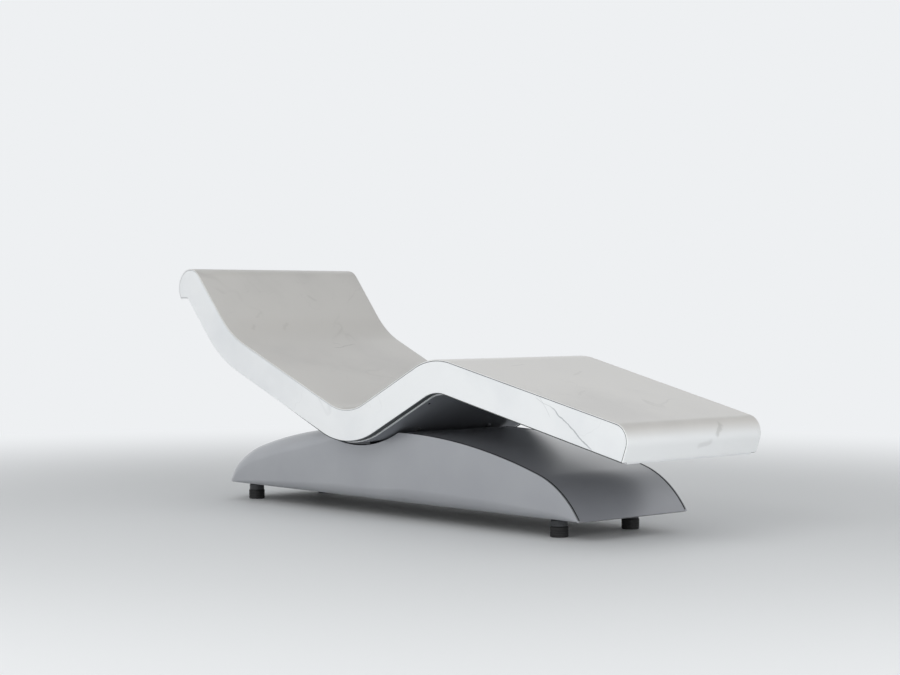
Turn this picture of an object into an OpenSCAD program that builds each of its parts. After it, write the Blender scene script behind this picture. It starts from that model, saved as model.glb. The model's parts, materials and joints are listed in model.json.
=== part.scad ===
// Heated stone relaxation lounger with a tilting shell on a rolling cradle.
// Frame: origin on the floor under the middle of the lounger, +X to the foot end, +Z up.
// The near side of the lounger is -Y and is called left; the far side is +Y and is called right.
// All sizes are millimetres and degrees.

/* [Lounging surface] */
// Width across the cheeks at the head end
head_w = 706; // [640:1:760]
// Width across the cheeks at the foot end
foot_w = 570; // [540:1:640]
// Depth of the cheeks, square to the top surface
shell_t = 100; // [98:1:110]
// Head rest, from the head roll to the bend
head_rest_len = 267; // [240:1:300]
// Back rest, from the bend to the corner of the seat
back_len = 644; // [620:1:680]
// Thigh ramp, from the corner of the seat to the knee
ramp_len = 434; // [420:1:460]
// Leg rest, from the knee to the foot nose
leg_len = 755; // [700:1:820]
// Slope of the head rest
head_slope = 48.5; // [45:0.5:52]
// Slope of the back rest
back_slope = 22.5; // [21:0.5:24]
// Slope of the thigh ramp
ramp_slope = 27; // [26:0.5:28]
// Slope of the leg rest
leg_slope = 13; // [11:0.5:15]
// Radius of the head roll
roll_r = 66; // [62:1:70]
// Height from the lip under the head roll to the centre of the roll
lip_drop = 37; // [34:1:40]
// Radius of the bend between head rest and back rest
bend_r = 340; // [200:5:360]
// Radius of the seat
seat_r = 190; // [180:1:200]
// Radius of the knee
knee_r = 230; // [200:1:260]
// Radius of the foot nose
nose_r = 52; // [50:1:56]
// Turn of the foot nose, from the leg rest to its flat end
nose_turn = 97; // [92:1:100]
// Height of the lowest point of the seat above the floor
seat_h = 346; // [346:1:350]

/* [Stone cladding] */
// Thickness of the stone slabs
stone_t = 20; // [16:1:22]
// Thickness of the top slab where it laps over the cheeks
lap_t = 4; // [3:0.5:6]
// Width of the adhesive joint between top and cheek
joint_w = 0.8; // [0.5:0.1:0.9]

/* [Inside the shell] */
// Thickness of a heating mat
mat_t = 2; // [1:0.5:3]
// Distance from a heating mat to the outside of the cheek
mat_margin = 60; // [40:1:80]
// Gap between the heating mats of back and seat
mat_gap = 12; // [6:1:30]
// Diameter of the seat temperature sensor
sensor_d = 16; // [10:1:24]
// Height of the seat temperature sensor
sensor_h = 6; // [4:1:10]
// Depth of the top of the steel spines below the surface
spine_depth = 60; // [56:1:64]
// Thickness of a steel spine
spine_t = 12; // [8:1:16]
// Distance between the two spines
spine_gap = 308; // [300:1:320]
// Diameter of the tubes between the spines
cross_tube_d = 26; // [20:1:28]

/* [Underside] */
// Thickness of the underside tray
tray_t = 12; // [10:1:14]
// How far the tray stands below the cheeks
tray_drop = 6; // [4:1:8]
// Dark gap between the cheek and the bright edge of the tray
shadow_gap = 2; // [1:0.5:4]
// Thickness of the bright edge trim
trim_t = 4; // [2:0.5:6]
// Distance from the start of the head rest to the end of the tray
tray_start = 26; // [24:1:40]
// How far the tray runs past the end of the leg rest
tray_end = 20; // [10:1:22]
// Depth of the bright lip under the foot nose
lip_len = 24; // [18:1:26]
// Diameter of a tray screw head
tray_screw_d = 9; // [6:1:12]

/* [Tilting cradle] */
// Height of the tilt axis above the floor
axis_h = 675; // [674:0.5:676]
// Distance from the seat corner back to the tilt axis
axis_back = 62; // [60:1:64]
// Largest tilt from the upright position
tilt_max = 18; // [10:1:18]
// Radius of the running edge of the rail plates
rail_r = 448; // [447.5:0.1:448.2]
// Radius of the saddle in the base
saddle_r = 450; // [450:0.5:451]
// Thickness of a rail plate
rail_t = 10; // [8:1:12]
// Depth of the top of the rail plates below the surface
rail_depth = 66; // [64:1:70]
// Diameter of a support roller
roller_d = 40; // [34:1:42]
// Width of a support roller
roller_w = 20; // [16:1:20]
// Angle between a roller and the lowest point of the saddle
roller_angle = 18; // [17:1:19]
// Running gap between roller and rail plate
roller_gap = 0.3; // [0.2:0.1:0.5]
// Diameter of a roller axle
axle_d = 16; // [12:1:18]
// Side gap between the rocker and the outside of the base
rocker_inset = 5; // [4:1:8]
// Thickness of the rocker covers
rocker_skin_t = 3; // [2:0.5:3]

/* [Base] */
// Width of the base
base_w = 465; // [460:1:480]
// Height of the underside of the base above the floor
base_clear = 61; // [59:1:62]
// Height of the crest of the base above the floor
base_h = 275; // [272:1:278]
// Distance from the tilt axis forward to the front crest
crest_front = 216; // [212:1:220]
// Radius of the long front curve
front_long_r = 2100; // [2000:10:2200]
// Turn of the long front curve
front_long_turn = 16.8; // [16:0.1:17.5]
// Radius of the tight front curve
front_tight_r = 300; // [280:5:320]
// Radius of the long rear curve
rear_long_r = 1980; // [1900:10:2050]
// Turn of the long rear curve
rear_long_turn = 16.4; // [16:0.1:17]
// Radius of the tight rear curve
rear_tight_r = 345; // [330:5:360]
// Plan radius of the rear corners
rear_corner_r = 90; // [60:1:100]
// Wall thickness of the base body
wall_t = 6; // [4:0.5:7]
// Dark joint round the front top panel
panel_joint = 2.5; // [1:0.5:4]
// Width of the ledge under the front top panel
ledge_w = 15; // [10:1:20]
// Thickness of the steel saddle plate
saddle_t = 4; // [3:0.5:5]
// Thickness of the bottom plate
bottom_t = 3; // [2:0.5:4]

/* [Base frame] */
// Size of the square frame tubes
tube_s = 40; // [36:1:44]
// Wall of the frame tubes
tube_wall = 3; // [2:0.5:4]
// Distance between the outsides of the two long tubes
frame_w = 430; // [420:1:436]
// Distance from the rear end of the base to the rear feet
foot_rear_inset = 99.5; // [90:0.5:114]
// Distance from the front tip of the base to the front feet
foot_front_inset = 155; // [130:1:190]
// Distance from the centre line to a foot
foot_side = 152; // [140:1:160]
// Thickness of a cradle plate
cradle_t = 8; // [6:1:10]

/* [Drive] */
// Height of the drive pin above the floor
pin_h = 160; // [158:1:162]
// Diameter of the drive pin
pin_d = 14; // [10:1:16]
// Play of the drive pin in its slot, all round
pin_play = 0.8; // [0.6:0.1:1.5]
// Thickness of the drive bracket
bracket_t = 12; // [8:1:14]
// Width of the drive bracket
bracket_w = 50; // [44:1:54]
// Diameter of the actuator rod
rod_d = 22; // [18:1:26]
// Diameter of the actuator tube
act_tube_d = 44; // [40:1:48]
// Diameter of the drive motor
motor_d = 58; // [50:1:60]
// Length of the drive motor
motor_len = 150; // [120:1:180]

/* [Levelling feet] */
// Diameter of a foot pad
pad_d = 54; // [44:1:60]
// Height of a foot pad
pad_h = 32; // [24:1:36]
// Diameter of the collar above the pad
collar_d = 50; // [40:1:54]
// Height of the collar above the pad
collar_h = 18; // [12:1:19]
// Diameter of a foot stem
stem_d = 16; // [12:1:18]
// Length of a foot stem above its collar
stem_len = 50; // [40:1:52]

/* [Hidden] */
$fn = 180;
LEFT = -1;
RIGHT = 1;

// Overrun of cuts past the faces that they open
over = 5;
// Overlap that welds two parts of one drawing where a straight meets a curve
weld = 0.005;
// Set-back of every curve from the straights beside it, too small to see
curve_step = 0.02;

// Head to foot line of the top surface, as corners with headings between them
function dir(a) = [cos(a), sin(a)];
seat_turn = back_slope + ramp_slope;
seat_centre_lift = seat_r / cos(seat_turn / 2);
seat_centre_dir = dir(90 + (ramp_slope - back_slope) / 2);
seat_corner_h = seat_h + seat_r - seat_centre_lift * seat_centre_dir[1];
rear_run = back_len * dir(-back_slope) + head_rest_len * dir(-head_slope)
  + roll_r * dir(90 - head_slope);
front_run = ramp_len * dir(ramp_slope) + leg_len * dir(-leg_slope)
  - nose_r * dir(90 - leg_slope);
seat_x = (rear_run[0] + roll_r - front_run[0] - nose_r) / 2;
seat_c = [seat_x, seat_corner_h];
bend_c = seat_c - back_len * dir(-back_slope);
roll_t = bend_c - head_rest_len * dir(-head_slope);
knee_c = seat_c + ramp_len * dir(ramp_slope);
nose_t = knee_c + leg_len * dir(-leg_slope);
roll_o = roll_t - roll_r * dir(90 - head_slope);
roll_end_angle = 315;
nose_o = nose_t - nose_r * dir(90 - leg_slope);
lip_z = roll_o[1] - lip_drop;
seat_o = seat_c + seat_centre_lift * seat_centre_dir;
rear_x = roll_o[0] - roll_r;
front_x = nose_o[0] + nose_r;
corners = [roll_t, bend_c, seat_c, knee_c, nose_t];
headings = [-head_slope, -back_slope, ramp_slope, -leg_slope];
corner_r = [0, bend_r, seat_r, knee_r, 0];
function turn(i) = headings[i] - headings[i - 1];
function setback(i) = i == 0 || i == 4 ? 0 : corner_r[i] * tan(abs(turn(i)) / 2);
function run_len(i) = norm(corners[i + 1] - corners[i]) - setback(i) - setback(i + 1);
// Point on straight run i, at a share of its length and a depth below the surface
function on_run(i, share, depth) = corners[i]
  + (setback(i) + share * run_len(i)) * dir(headings[i]) - depth * dir(headings[i] + 90);
function half_w(x) = foot_w / 2 + (head_w - foot_w) / 2 * (front_x - x) / (front_x - rear_x);

// Depths of the layers of the shell
tray_top = shell_t + tray_drop - tray_t;
tray_bottom = shell_t + tray_drop;
core_side = stone_t + joint_w;
trim_side = stone_t + shadow_gap;
tray_side = trim_side + trim_t;
section_h = 1000;
slab_reach = head_w;

// Cradle and drive
axis = [seat_x - axis_back, axis_h];
function on_axis(r, a) = axis + r * dir(a);
mid_angle = -90;
rest_angle = mid_angle - tilt_max / 2;
rail_rear_angle = -135;
rail_front_angle = -61;
cover_rear_angle = -136;
cover_front_angle = -82;
cover_edge_angle = 1;
slot_angle = 0.15;
cover_step = 1.2;
cover_r = rail_r - cover_step - rocker_skin_t;
rocker_half = base_w / 2 - rocker_inset;
rail_y = spine_gap / 2 - rail_t;
slide_gap = 0.5;
saddle_drop = 14;
saddle_from = -(90 + acos((axis_h - base_h + saddle_drop) / saddle_r));
saddle_to = -(90 - acos((axis_h - base_h) / saddle_r));
roller_track_r = rail_r + roller_gap + roller_d / 2;
roller_y = rail_y + rail_t / 2;
roller_bore_play = 0.05;
window_angle = 2.2;
slot_side = 2;
slot_reach_angle = 6;
pin_rest = [axis[0] - (axis_h - pin_h) * tan(tilt_max / 2), pin_h];
bracket_top_r = cover_r - rocker_skin_t;
bracket_edge = 24;
bracket_low_r = (axis_h - pin_h) / cos(tilt_max / 2) + bracket_edge;
bracket_half_angle = atan(bracket_w / 2 / saddle_r);
crossbar_h = 17;
crossbar_w = 40;
shoe_t = 12;
shoe_w = 34;
shoe_gap = 1.2;

// Base outline
base_front = [axis[0] + crest_front, base_h];
rear_crest_x = axis[0];
front_join_x = front_long_r * sin(front_long_turn);
front_join_z = base_h - front_long_r * (1 - cos(front_long_turn));
front_o = [base_front[0] + front_join_x - front_tight_r * sin(front_long_turn),
  front_join_z - front_tight_r * cos(front_long_turn)];
base_tip_x = front_o[0] + sqrt(pow(front_tight_r, 2) - pow(base_clear - front_o[1], 2));
rear_join_x = rear_long_r * sin(rear_long_turn);
rear_join_z = base_h - rear_long_r * (1 - cos(rear_long_turn));
rear_o = [rear_crest_x - rear_join_x + rear_tight_r * sin(rear_long_turn),
  rear_join_z - rear_tight_r * cos(rear_long_turn)];
base_end_x = rear_o[0] - sqrt(pow(rear_tight_r, 2) - pow(base_clear - rear_o[1], 2));

// Frame and feet
frame_z = base_clear + bottom_t;
frame_top = frame_z + tube_s;
rail_tube_y = frame_w / 2 - tube_s;
rear_foot_x = base_end_x + foot_rear_inset;
front_foot_x = base_tip_x - foot_front_inset;
frame_end_margin = 14;
cradle_step = 6;
cradle_y = spine_gap / 2 + cradle_step;
cradle_half_len = 220;
cradle_from = axis[0] - cradle_half_len;
cradle_len = 2 * cradle_half_len;
cradle_clear = 2;
hole_play = 0.1;
axle_end = 2;

// Places of the actuator along the base, from the tilt axis
gear_len = 70;
gear_h = 60;
gear_side = 35;
motor_y = 62;
rod_show = 54;
tube_end = pin_rest[0] - rod_show;
gear_clear = 6.6;
gear_drop = base_h - wall_t - gear_clear - gear_h / 2 - pin_h;
gear_back = rear_crest_x - sqrt(pow(rear_long_r, 2) - pow(rear_long_r - gear_drop, 2));
gear_front = gear_back + gear_len;
tube_len = tube_end - gear_front;
end_cap_len = 30;
fork_h = 32;
fork_w = 44;
fork_back = 45;
rod_end_gap = 44;
rod_len = rod_show - fork_back + tube_len - end_cap_len - rod_end_gap;
fork_slot = 31;
fork_front = 14;
mount_t = 8;
mount_w = 30;
mount_back = 60;
mount_x = tube_end - mount_back;
drive_cross_x = gear_back - mount_t;

// Boxes inside the front of the base
box_y = 110;
box_ahead = 330;
box_x = axis[0] + box_ahead;
box_len = 230;
box_h = 58;
supply_len = 170;
supply_w = 90;
supply_h = 50;
supply_gap = 40;
inlet_ahead = 30.5;
inlet_x = gear_front + inlet_ahead;
inlet_y = 90;
inlet_l = 50;
inlet_w = 30;
inlet_h = 26;
inlet_wall = 3;

// Bolts through rail plates and spines, and screws of the tray
bolt_d = 10;
bolt_head_d = 17;
bolt_head_h = 6;
bolt_depth = (rail_depth + tray_top) / 2;
screw_len = 8;

// Solid from a drawing of the side view, across the width
module across(w) rotate([90, 0, 0]) linear_extrude(height = w, center = true) children();

// Plate from a drawing of the side view, from y to y + t on one side
module side_plate(side, y, t)
  translate([0, side > 0 ? y + t : -y, 0]) rotate([90, 0, 0]) linear_extrude(height = t)
    children();

// Sector between two radii and two angles about a point, in the side view
module sector(o, r_in, r_out, from, to) {
  step = (to - from) / 4;
  far = 2 * r_out;
  translate(o) difference() {
    intersection() {
      circle(r_out);
      polygon(concat([[0, 0]], [for (k = [0:4]) far * dir(from + k * step)]));
    }
    if (r_in > 0) circle(r_in);
  }
}

// Layer between two depths below straight run i
module run_layer(i, top, bottom, extra = 0)
  translate(corners[i]) rotate(headings[i]) translate([setback(i) - weld, -bottom])
    square([run_len(i) + 2 * weld + extra, bottom - top]);

// Layer between two depths below the curve at corner i
module curve_layer(i, top, bottom) {
  high = top + curve_step;
  low = bottom - curve_step;
  r = corner_r[i];
  rising = turn(i) > 0;
  tangent = corners[i] + setback(i) * dir(headings[i]);
  o = tangent + r * dir(headings[i] + (rising ? 90 : -90));
  if (rising) sector(o, r + high, r + low, headings[i - 1] - 90, headings[i] - 90);
  else sector(o, r - low, r - high, headings[i] + 90, headings[i - 1] + 90);
}

// Layer between two depths along the runs from first to last, which can be extended
module ribbon(top, bottom, first = 0, last = 3, extra = 0) {
  for (i = [first:last]) run_layer(i, top, bottom, i == last ? extra : 0);
  if (last > first) for (i = [first + 1:last]) curve_layer(i, top, bottom);
}

// Head roll, inset by a depth, cut flat above its lip
module roll_part(inset)
  intersection() {
    sector(roll_o, 0, roll_r - inset - curve_step, 90 - head_slope, roll_end_angle);
    translate([roll_o[0] - roll_r - over, lip_z + inset])
      square([2 * roll_r + 2 * over, 2 * roll_r]);
  }

// Foot nose, inset by a depth, down to a depth below the surface
module nose_part(inset, bottom) {
  r = nose_r - inset;
  low = bottom - curve_step;
  tip = r * dir(90 - nose_turn) - [0, nose_r];
  low_x = tip[0] + (low + tip[1]) * cos(nose_turn) / sin(nose_turn);
  translate(nose_t) rotate(-leg_slope) {
    sector([0, -nose_r], 0, r - curve_step, 90 - nose_turn, 90);
    polygon([[-weld, -low], [low_x, -low], tip + weld * dir(180 - nose_turn),
      [-weld, weld - nose_r]]);
  }
}

// Side view of everything below a depth from the outer surface
module shell_section(inset, bottom) {
  roll_part(inset);
  ribbon(inset, bottom);
  nose_part(inset, bottom);
}

// Upright prism over the tapered plan of the shell, inset from the cheeks
module plan_prism(inset, rear = rear_x - over, front = front_x + over)
  linear_extrude(height = section_h)
    polygon([[rear, inset - half_w(rear)], [front, inset - half_w(front)],
      [front, half_w(front) - inset], [rear, half_w(rear) - inset]]);

// Upright prism over one edge of the plan, between two insets
module edge_prism(side, outer, inner) {
  rear = rear_x - over;
  front = front_x + over;
  linear_extrude(height = section_h)
    polygon([[rear, side * (half_w(rear) - outer)], [front, side * (half_w(front) - outer)],
      [front, side * (half_w(front) - inner)], [rear, side * (half_w(rear) - inner)]]);
}

module stone_layer(top, bottom)
  difference() {
    shell_section(top, shell_t);
    shell_section(bottom, shell_t + over);
  }

module marble_top()
  color("whitesmoke") {
    intersection() {
      across(slab_reach) stone_layer(0, lap_t);
      plan_prism(0);
    }
    intersection() {
      across(slab_reach) stone_layer(lap_t, stone_t);
      plan_prism(core_side);
    }
  }

module cheek(side)
  color("gainsboro") intersection() {
    across(slab_reach) shell_section(lap_t + joint_w, shell_t);
    edge_prism(side, 0, stone_t);
  }

module mat(first, last, from_x, to_x)
  color("firebrick") intersection() {
    across(slab_reach) ribbon(stone_t, stone_t + mat_t, first, last);
    plan_prism(mat_margin, from_x, to_x);
  }
module heating_mat_back() mat(0, 1, rear_x, on_run(1, 1, 0)[0] - mat_gap);
module heating_mat_seat() mat(1, 2, on_run(1, 1, 0)[0], knee_c[0]);
module heating_mat_legs() mat(3, 3, knee_c[0], front_x);

module sensor_solid(play = 0)
  translate([seat_o[0], 0, seat_h - stone_t - mat_t - joint_w / 2 - sensor_h - play])
    cylinder(h = sensor_h + 2 * play, d = sensor_d + 2 * play);
module seat_sensor() color("dimgray") sensor_solid();

// Stretch of the surface line that the spines follow
module spine_section()
  intersection() {
    ribbon(spine_depth, tray_top);
    translate([roll_t[0] + spine_t, base_clear])
      square([nose_t[0] - roll_t[0] - 2 * spine_t, section_h]);
  }

module spine(side)
  color("slategray") difference() {
    side_plate(side, spine_gap / 2, spine_t) spine_section();
    bolt_shanks(hole_play);
  }

// Tubes between the spines: run number and share of the run
cross_tube_shares = [[0, 0.45], [1, 0.12], [2, 0.72], [3, 0.2], [3, 0.9]];
module cross_tubes()
  color("slategray") for (s = cross_tube_shares) {
    p = on_run(s[0], s[1], (spine_depth + tray_top) / 2);
    translate([p[0], 0, p[1]]) rotate([90, 0, 0])
      cylinder(h = spine_gap, d = cross_tube_d, center = true);
  }

module rail_section(grow = 0, turn_by = 0)
  intersection() {
    ribbon(rail_depth - grow, rail_depth + seat_r, 1, 2);
    sector(axis, 0, rail_r, rail_rear_angle - turn_by, rail_front_angle + turn_by);
  }

module rail_plate(side)
  color("silver") difference() {
    side_plate(side, rail_y, rail_t) rail_section();
    bolt_shanks(hole_play);
  }

// Slots that let both rail plates through
module rail_slots()
  for (side = [LEFT, RIGHT])
    side_plate(side, rail_y - slide_gap, rail_t + 2 * slide_gap)
      rail_section(slide_gap, slot_angle);

// Places of the bolts: run number and share of the run
bolt_shares = [[1, 0.5], [1, 0.82], [2, 0.06], [2, 0.26]];
module bolt_shanks(play = 0)
  for (s = bolt_shares, side = [LEFT, RIGHT]) {
    p = on_run(s[0], s[1], bolt_depth);
    translate([p[0], side * (spine_gap / 2 + spine_t), p[1]]) rotate([side * 90, 0, 0])
      cylinder(h = spine_t + rail_t, d = bolt_d + 2 * play);
  }
module rail_bolts()
  color("silver") {
    bolt_shanks();
    for (s = bolt_shares, side = [LEFT, RIGHT]) {
      p = on_run(s[0], s[1], bolt_depth);
      translate([p[0], side * rail_y, p[1]]) rotate([side * 90, 0, 0])
        cylinder(h = bolt_head_h, d = bolt_head_d);
    }
  }

module foam_core()
  color("khaki") difference() {
    intersection() {
      across(slab_reach) shell_section(stone_t, spine_depth);
      plan_prism(core_side);
    }
    heating_mat_back();
    heating_mat_seat();
    heating_mat_legs();
    sensor_solid(joint_w / 2);
  }

// Side view of the tray, between two depths
module tray_section()
  difference() {
    ribbon(tray_top, tray_bottom, extra = tray_end - weld);
    translate(roll_t) rotate(-head_slope) translate([-over, -section_h])
      square([tray_start + over, section_h]);
  }

module underside_tray()
  color("dimgray") difference() {
    intersection() {
      across(slab_reach) tray_section();
      plan_prism(tray_side);
    }
    rail_slots();
    tray_screws(hole_play);
  }

module edge_trim(side)
  color("silver") intersection() {
    across(slab_reach) tray_section();
    edge_prism(side, trim_side, tray_side);
  }

module foot_lip()
  color("silver") intersection() {
    across(slab_reach) translate(nose_t) rotate(-leg_slope)
      translate([tray_end, -tray_bottom]) square([lip_len, tray_drop]);
    plan_prism(trim_side);
  }

// Places of the screws of the tray: run number and share of the run
tray_screw_shares = [[0, 0.3], [1, 0.1], [1, 0.32], [2, 0.85], [3, 0.12], [3, 0.5], [3, 0.92]];
tray_screw_inset = 50;
module tray_screws(play = 0)
  color("silver") for (s = tray_screw_shares, side = [LEFT, RIGHT]) {
    p = on_run(s[0], s[1], tray_bottom);
    translate([p[0], side * (half_w(p[0]) - tray_screw_inset), p[1]])
      rotate([0, -headings[s[0]], 0]) translate([0, 0, play > 0 ? -over : 0])
        cylinder(h = screw_len + (play > 0 ? over : 0), d = tray_screw_d + 2 * play);
  }

module rocker_cover()
  color("dimgray") difference() {
    across(2 * (rocker_half - rocker_skin_t))
      sector(axis, cover_r, cover_r + rocker_skin_t, cover_rear_angle, cover_front_angle);
    rail_slots();
    across(bracket_t + 2 * slide_gap)
      sector(axis, cover_r - over, rail_r, rest_angle - bracket_half_angle - slot_angle,
        rest_angle + bracket_half_angle + slot_angle);
  }

module rocker_side(side)
  color("dimgray") side_plate(side, rocker_half - rocker_skin_t, rocker_skin_t)
    intersection() {
      ribbon(tray_bottom, tray_bottom + seat_r, 1, 2);
      sector(axis, 0, cover_r + rocker_skin_t, cover_rear_angle + cover_edge_angle,
        cover_front_angle);
    }

module rocker_crossbar()
  color("silver") across(2 * rail_y)
    translate(axis) rotate(rest_angle)
      translate([bracket_top_r - crossbar_h, -crossbar_w / 2])
        square([crossbar_h, crossbar_w]);

module drive_slot(play)
  across(bracket_t + over) translate(axis) rotate(rest_angle) {
    short_r = axis_h - pin_h;
    long_r = short_r / cos(tilt_max / 2);
    for (r = [short_r - play, long_r + play]) translate([r, 0]) circle(d = pin_d + 2 * play);
    translate([short_r - play, -pin_d / 2 - play])
      square([long_r - short_r + 2 * play, pin_d + 2 * play]);
  }

module drive_bracket()
  color("silver") difference() {
    across(bracket_t) translate(axis) rotate(rest_angle)
      translate([bracket_top_r, -bracket_w / 2])
        square([bracket_low_r - bracket_top_r, bracket_w]);
    drive_slot(pin_play);
  }

// Blocks on the bracket that hook under the saddle plate
module keeper_shoes()
  color("silver") for (side = [LEFT, RIGHT])
    side_plate(side, bracket_t / 2, shoe_w)
      sector(axis, saddle_r + saddle_t + shoe_gap, saddle_r + saddle_t + shoe_gap + shoe_t,
        rest_angle - bracket_half_angle, rest_angle + bracket_half_angle);

// Side view of the base, inset from its curves, open at the bottom
module base_section(inset, z_low = base_clear) {
  tall = base_h - inset - z_low;
  front_x1 = base_front[0] + (front_long_r - inset) * sin(front_long_turn);
  rear_x1 = rear_crest_x - (rear_long_r - inset) * sin(rear_long_turn);
  intersection() {
    translate([base_front[0], base_h - front_long_r]) circle(front_long_r - inset, $fn = 1440);
    translate([base_front[0] - weld, z_low]) square([front_x1 - base_front[0] + 2 * weld, tall]);
  }
  intersection() {
    translate(front_o) circle(front_tight_r - inset, $fn = 360);
    translate([front_x1, z_low]) square([front_tight_r, tall]);
  }
  translate([rear_crest_x, z_low]) square([base_front[0] - rear_crest_x, tall]);
  intersection() {
    translate([rear_crest_x, base_h - rear_long_r]) circle(rear_long_r - inset, $fn = 1440);
    translate([rear_x1 - weld, z_low]) square([rear_crest_x - rear_x1 + 2 * weld, tall]);
  }
  intersection() {
    translate(rear_o) circle(rear_tight_r - inset, $fn = 360);
    translate([rear_x1 - rear_tight_r, z_low]) square([rear_tight_r, tall]);
  }
}

// Upright prism over the plan of the base, with round rear corners
module base_prism(inset) {
  r = rear_corner_r - inset;
  half = base_w / 2 - inset;
  linear_extrude(height = base_h + over) {
    translate([base_end_x + rear_corner_r, -half])
      square([base_tip_x - base_end_x, 2 * half]);
    translate([base_end_x + inset, -half + r]) square([rear_corner_r, 2 * (half - r)]);
    for (side = [LEFT, RIGHT])
      translate([base_end_x + rear_corner_r, side * (half - r)]) circle(r);
  }
}

module front_half(gap = 0)
  translate([axis[0] + sqrt(pow(saddle_r, 2) - pow(axis_h - base_h, 2)) + gap, 0])
    square([base_tip_x, section_h]);

module base_body()
  color("silver") difference() {
    intersection() {
      across(base_w) base_section(0);
      base_prism(0);
    }
    intersection() {
      across(base_w) base_section(wall_t, base_clear - over);
      translate([0, 0, -over]) base_prism(wall_t);
    }
    across(base_w + over) translate(axis) circle(saddle_r, $fn = 720);
    across(base_w - 2 * wall_t) translate(axis) circle(saddle_r + saddle_t, $fn = 720);
    difference() {
      across(base_w - 2 * wall_t) intersection() {
        translate([0, -over]) base_section(-over, 0);
        front_half(-over);
      }
      panel_ledges();
    }
  }

module panel_ledges()
  for (side = [LEFT, RIGHT])
    side_plate(side, base_w / 2 - wall_t - ledge_w, ledge_w)
      difference() {
        intersection() {
          base_section(wall_t);
          front_half(wall_t);
        }
        base_section(2 * wall_t, base_clear - over);
      }

module front_top_panel()
  color("darkgray") across(base_w - 2 * wall_t - 2 * panel_joint)
    intersection() {
      difference() {
        base_section(0);
        base_section(wall_t, base_clear - over);
      }
      difference() {
        front_half();
        translate(axis) circle(saddle_r + saddle_t + hole_play, $fn = 720);
      }
    }

module saddle_plate()
  color("dimgray") difference() {
    across(base_w - 2 * wall_t)
      sector(axis, saddle_r, saddle_r + saddle_t, saddle_from, saddle_to);
    for (side = [LEFT, RIGHT], a = [-roller_angle, roller_angle])
      side_plate(side, roller_y - roller_w / 2 - slot_side, roller_w + 2 * slot_side)
        sector(axis, saddle_r - over, saddle_r + 2 * saddle_t, mid_angle + a - window_angle,
          mid_angle + a + window_angle);
    across(bracket_t + 2 * slot_side)
      sector(axis, saddle_r - over, saddle_r + 2 * saddle_t, rest_angle - slot_reach_angle,
        rest_angle + tilt_max + slot_reach_angle);
  }

module bottom_plate()
  color("gray") difference() {
    intersection() {
      across(base_w) intersection() {
        base_section(wall_t + hole_play);
        translate([base_end_x, base_clear]) square([base_tip_x - base_end_x, bottom_t]);
      }
      base_prism(wall_t + hole_play);
    }
    stem_holes();
    translate([inlet_x - inlet_l / 2 - hole_play, inlet_y - inlet_w / 2 - hole_play, 0])
      cube([inlet_l + 2 * hole_play, inlet_w + 2 * hole_play, frame_top]);
  }

module stem_holes()
  for (x = [rear_foot_x, front_foot_x], side = [LEFT, RIGHT])
    translate([x, side * foot_side, 0]) cylinder(h = frame_top + over, d = stem_d + 2 * hole_play);

// Square tube of a length along X
module square_tube(len)
  difference() {
    cube([len, tube_s, tube_s]);
    translate([-over, tube_wall, tube_wall])
      cube([len + 2 * over, tube_s - 2 * tube_wall, tube_s - 2 * tube_wall]);
  }

module frame_rail(side)
  color("slategray")
    translate([rear_foot_x - frame_end_margin, side > 0 ? rail_tube_y : -rail_tube_y - tube_s,
      frame_z])
      square_tube(front_foot_x - rear_foot_x + 2 * frame_end_margin);

cross_xs = [rear_foot_x, drive_cross_x, mount_x, front_foot_x];
module frame_cross_members()
  color("slategray") difference() {
    for (x = cross_xs)
      translate([x + tube_s / 2, -rail_tube_y, frame_z]) rotate([0, 0, 90])
        square_tube(2 * rail_tube_y);
    stem_holes();
  }

module cradle(side)
  color("slategray") difference() {
    union() {
      side_plate(side, cradle_y, cradle_t) difference() {
        intersection() {
          translate([cradle_from, frame_top]) square([cradle_len, base_h]);
          base_section(wall_t + cradle_clear);
        }
        translate(axis) circle(saddle_r + saddle_t, $fn = 720);
      }
      translate([cradle_from, side > 0 ? cradle_y : -rail_tube_y - tube_s / 2, frame_top])
        cube([cradle_len, rail_tube_y + tube_s / 2 - cradle_y, cradle_t]);
    }
    for (a = [-roller_angle, roller_angle]) axle_solid(a, hole_play);
  }

module axle_solid(a, play = 0) {
  p = on_axis(roller_track_r, mid_angle + a);
  translate([p[0], 0, p[1]]) rotate([90, 0, 0])
    cylinder(h = 2 * (cradle_y + cradle_t + axle_end), d = axle_d + 2 * play, center = true);
}
module axle_rear() color("silver") axle_solid(-roller_angle);
module axle_front() color("silver") axle_solid(roller_angle);

// Rings that keep the rollers in place on their axles
collar_w = 6;
module axle_collars()
  color("gray") for (a = [-roller_angle, roller_angle], side = [LEFT, RIGHT]) {
    p = on_axis(roller_track_r, mid_angle + a);
    translate([p[0], side * (roller_y - roller_w / 2 - roller_gap - collar_w / 2), p[1]])
      rotate([90, 0, 0]) difference() {
        cylinder(h = collar_w, d = axle_d + collar_w, center = true);
        cylinder(h = collar_w + over, d = axle_d + 2 * roller_bore_play, center = true);
      }
  }

module roller(a, side)
  color("gray") {
    p = on_axis(roller_track_r, mid_angle + a);
    translate([p[0], side * roller_y, p[1]]) rotate([90, 0, 0]) difference() {
      cylinder(h = roller_w, d = roller_d, center = true);
      cylinder(h = roller_w + over, d = axle_d + 2 * roller_bore_play, center = true);
    }
  }

module actuator_gearbox()
  color("dimgray")
    translate([gear_back, -gear_side, pin_h - gear_h / 2])
      cube([gear_len, motor_y + 2 * gear_side, gear_h]);

module actuator_motor()
  color("dimgray") translate([gear_front, motor_y, pin_h]) rotate([0, 90, 0])
    cylinder(h = motor_len, d = motor_d);

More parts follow.
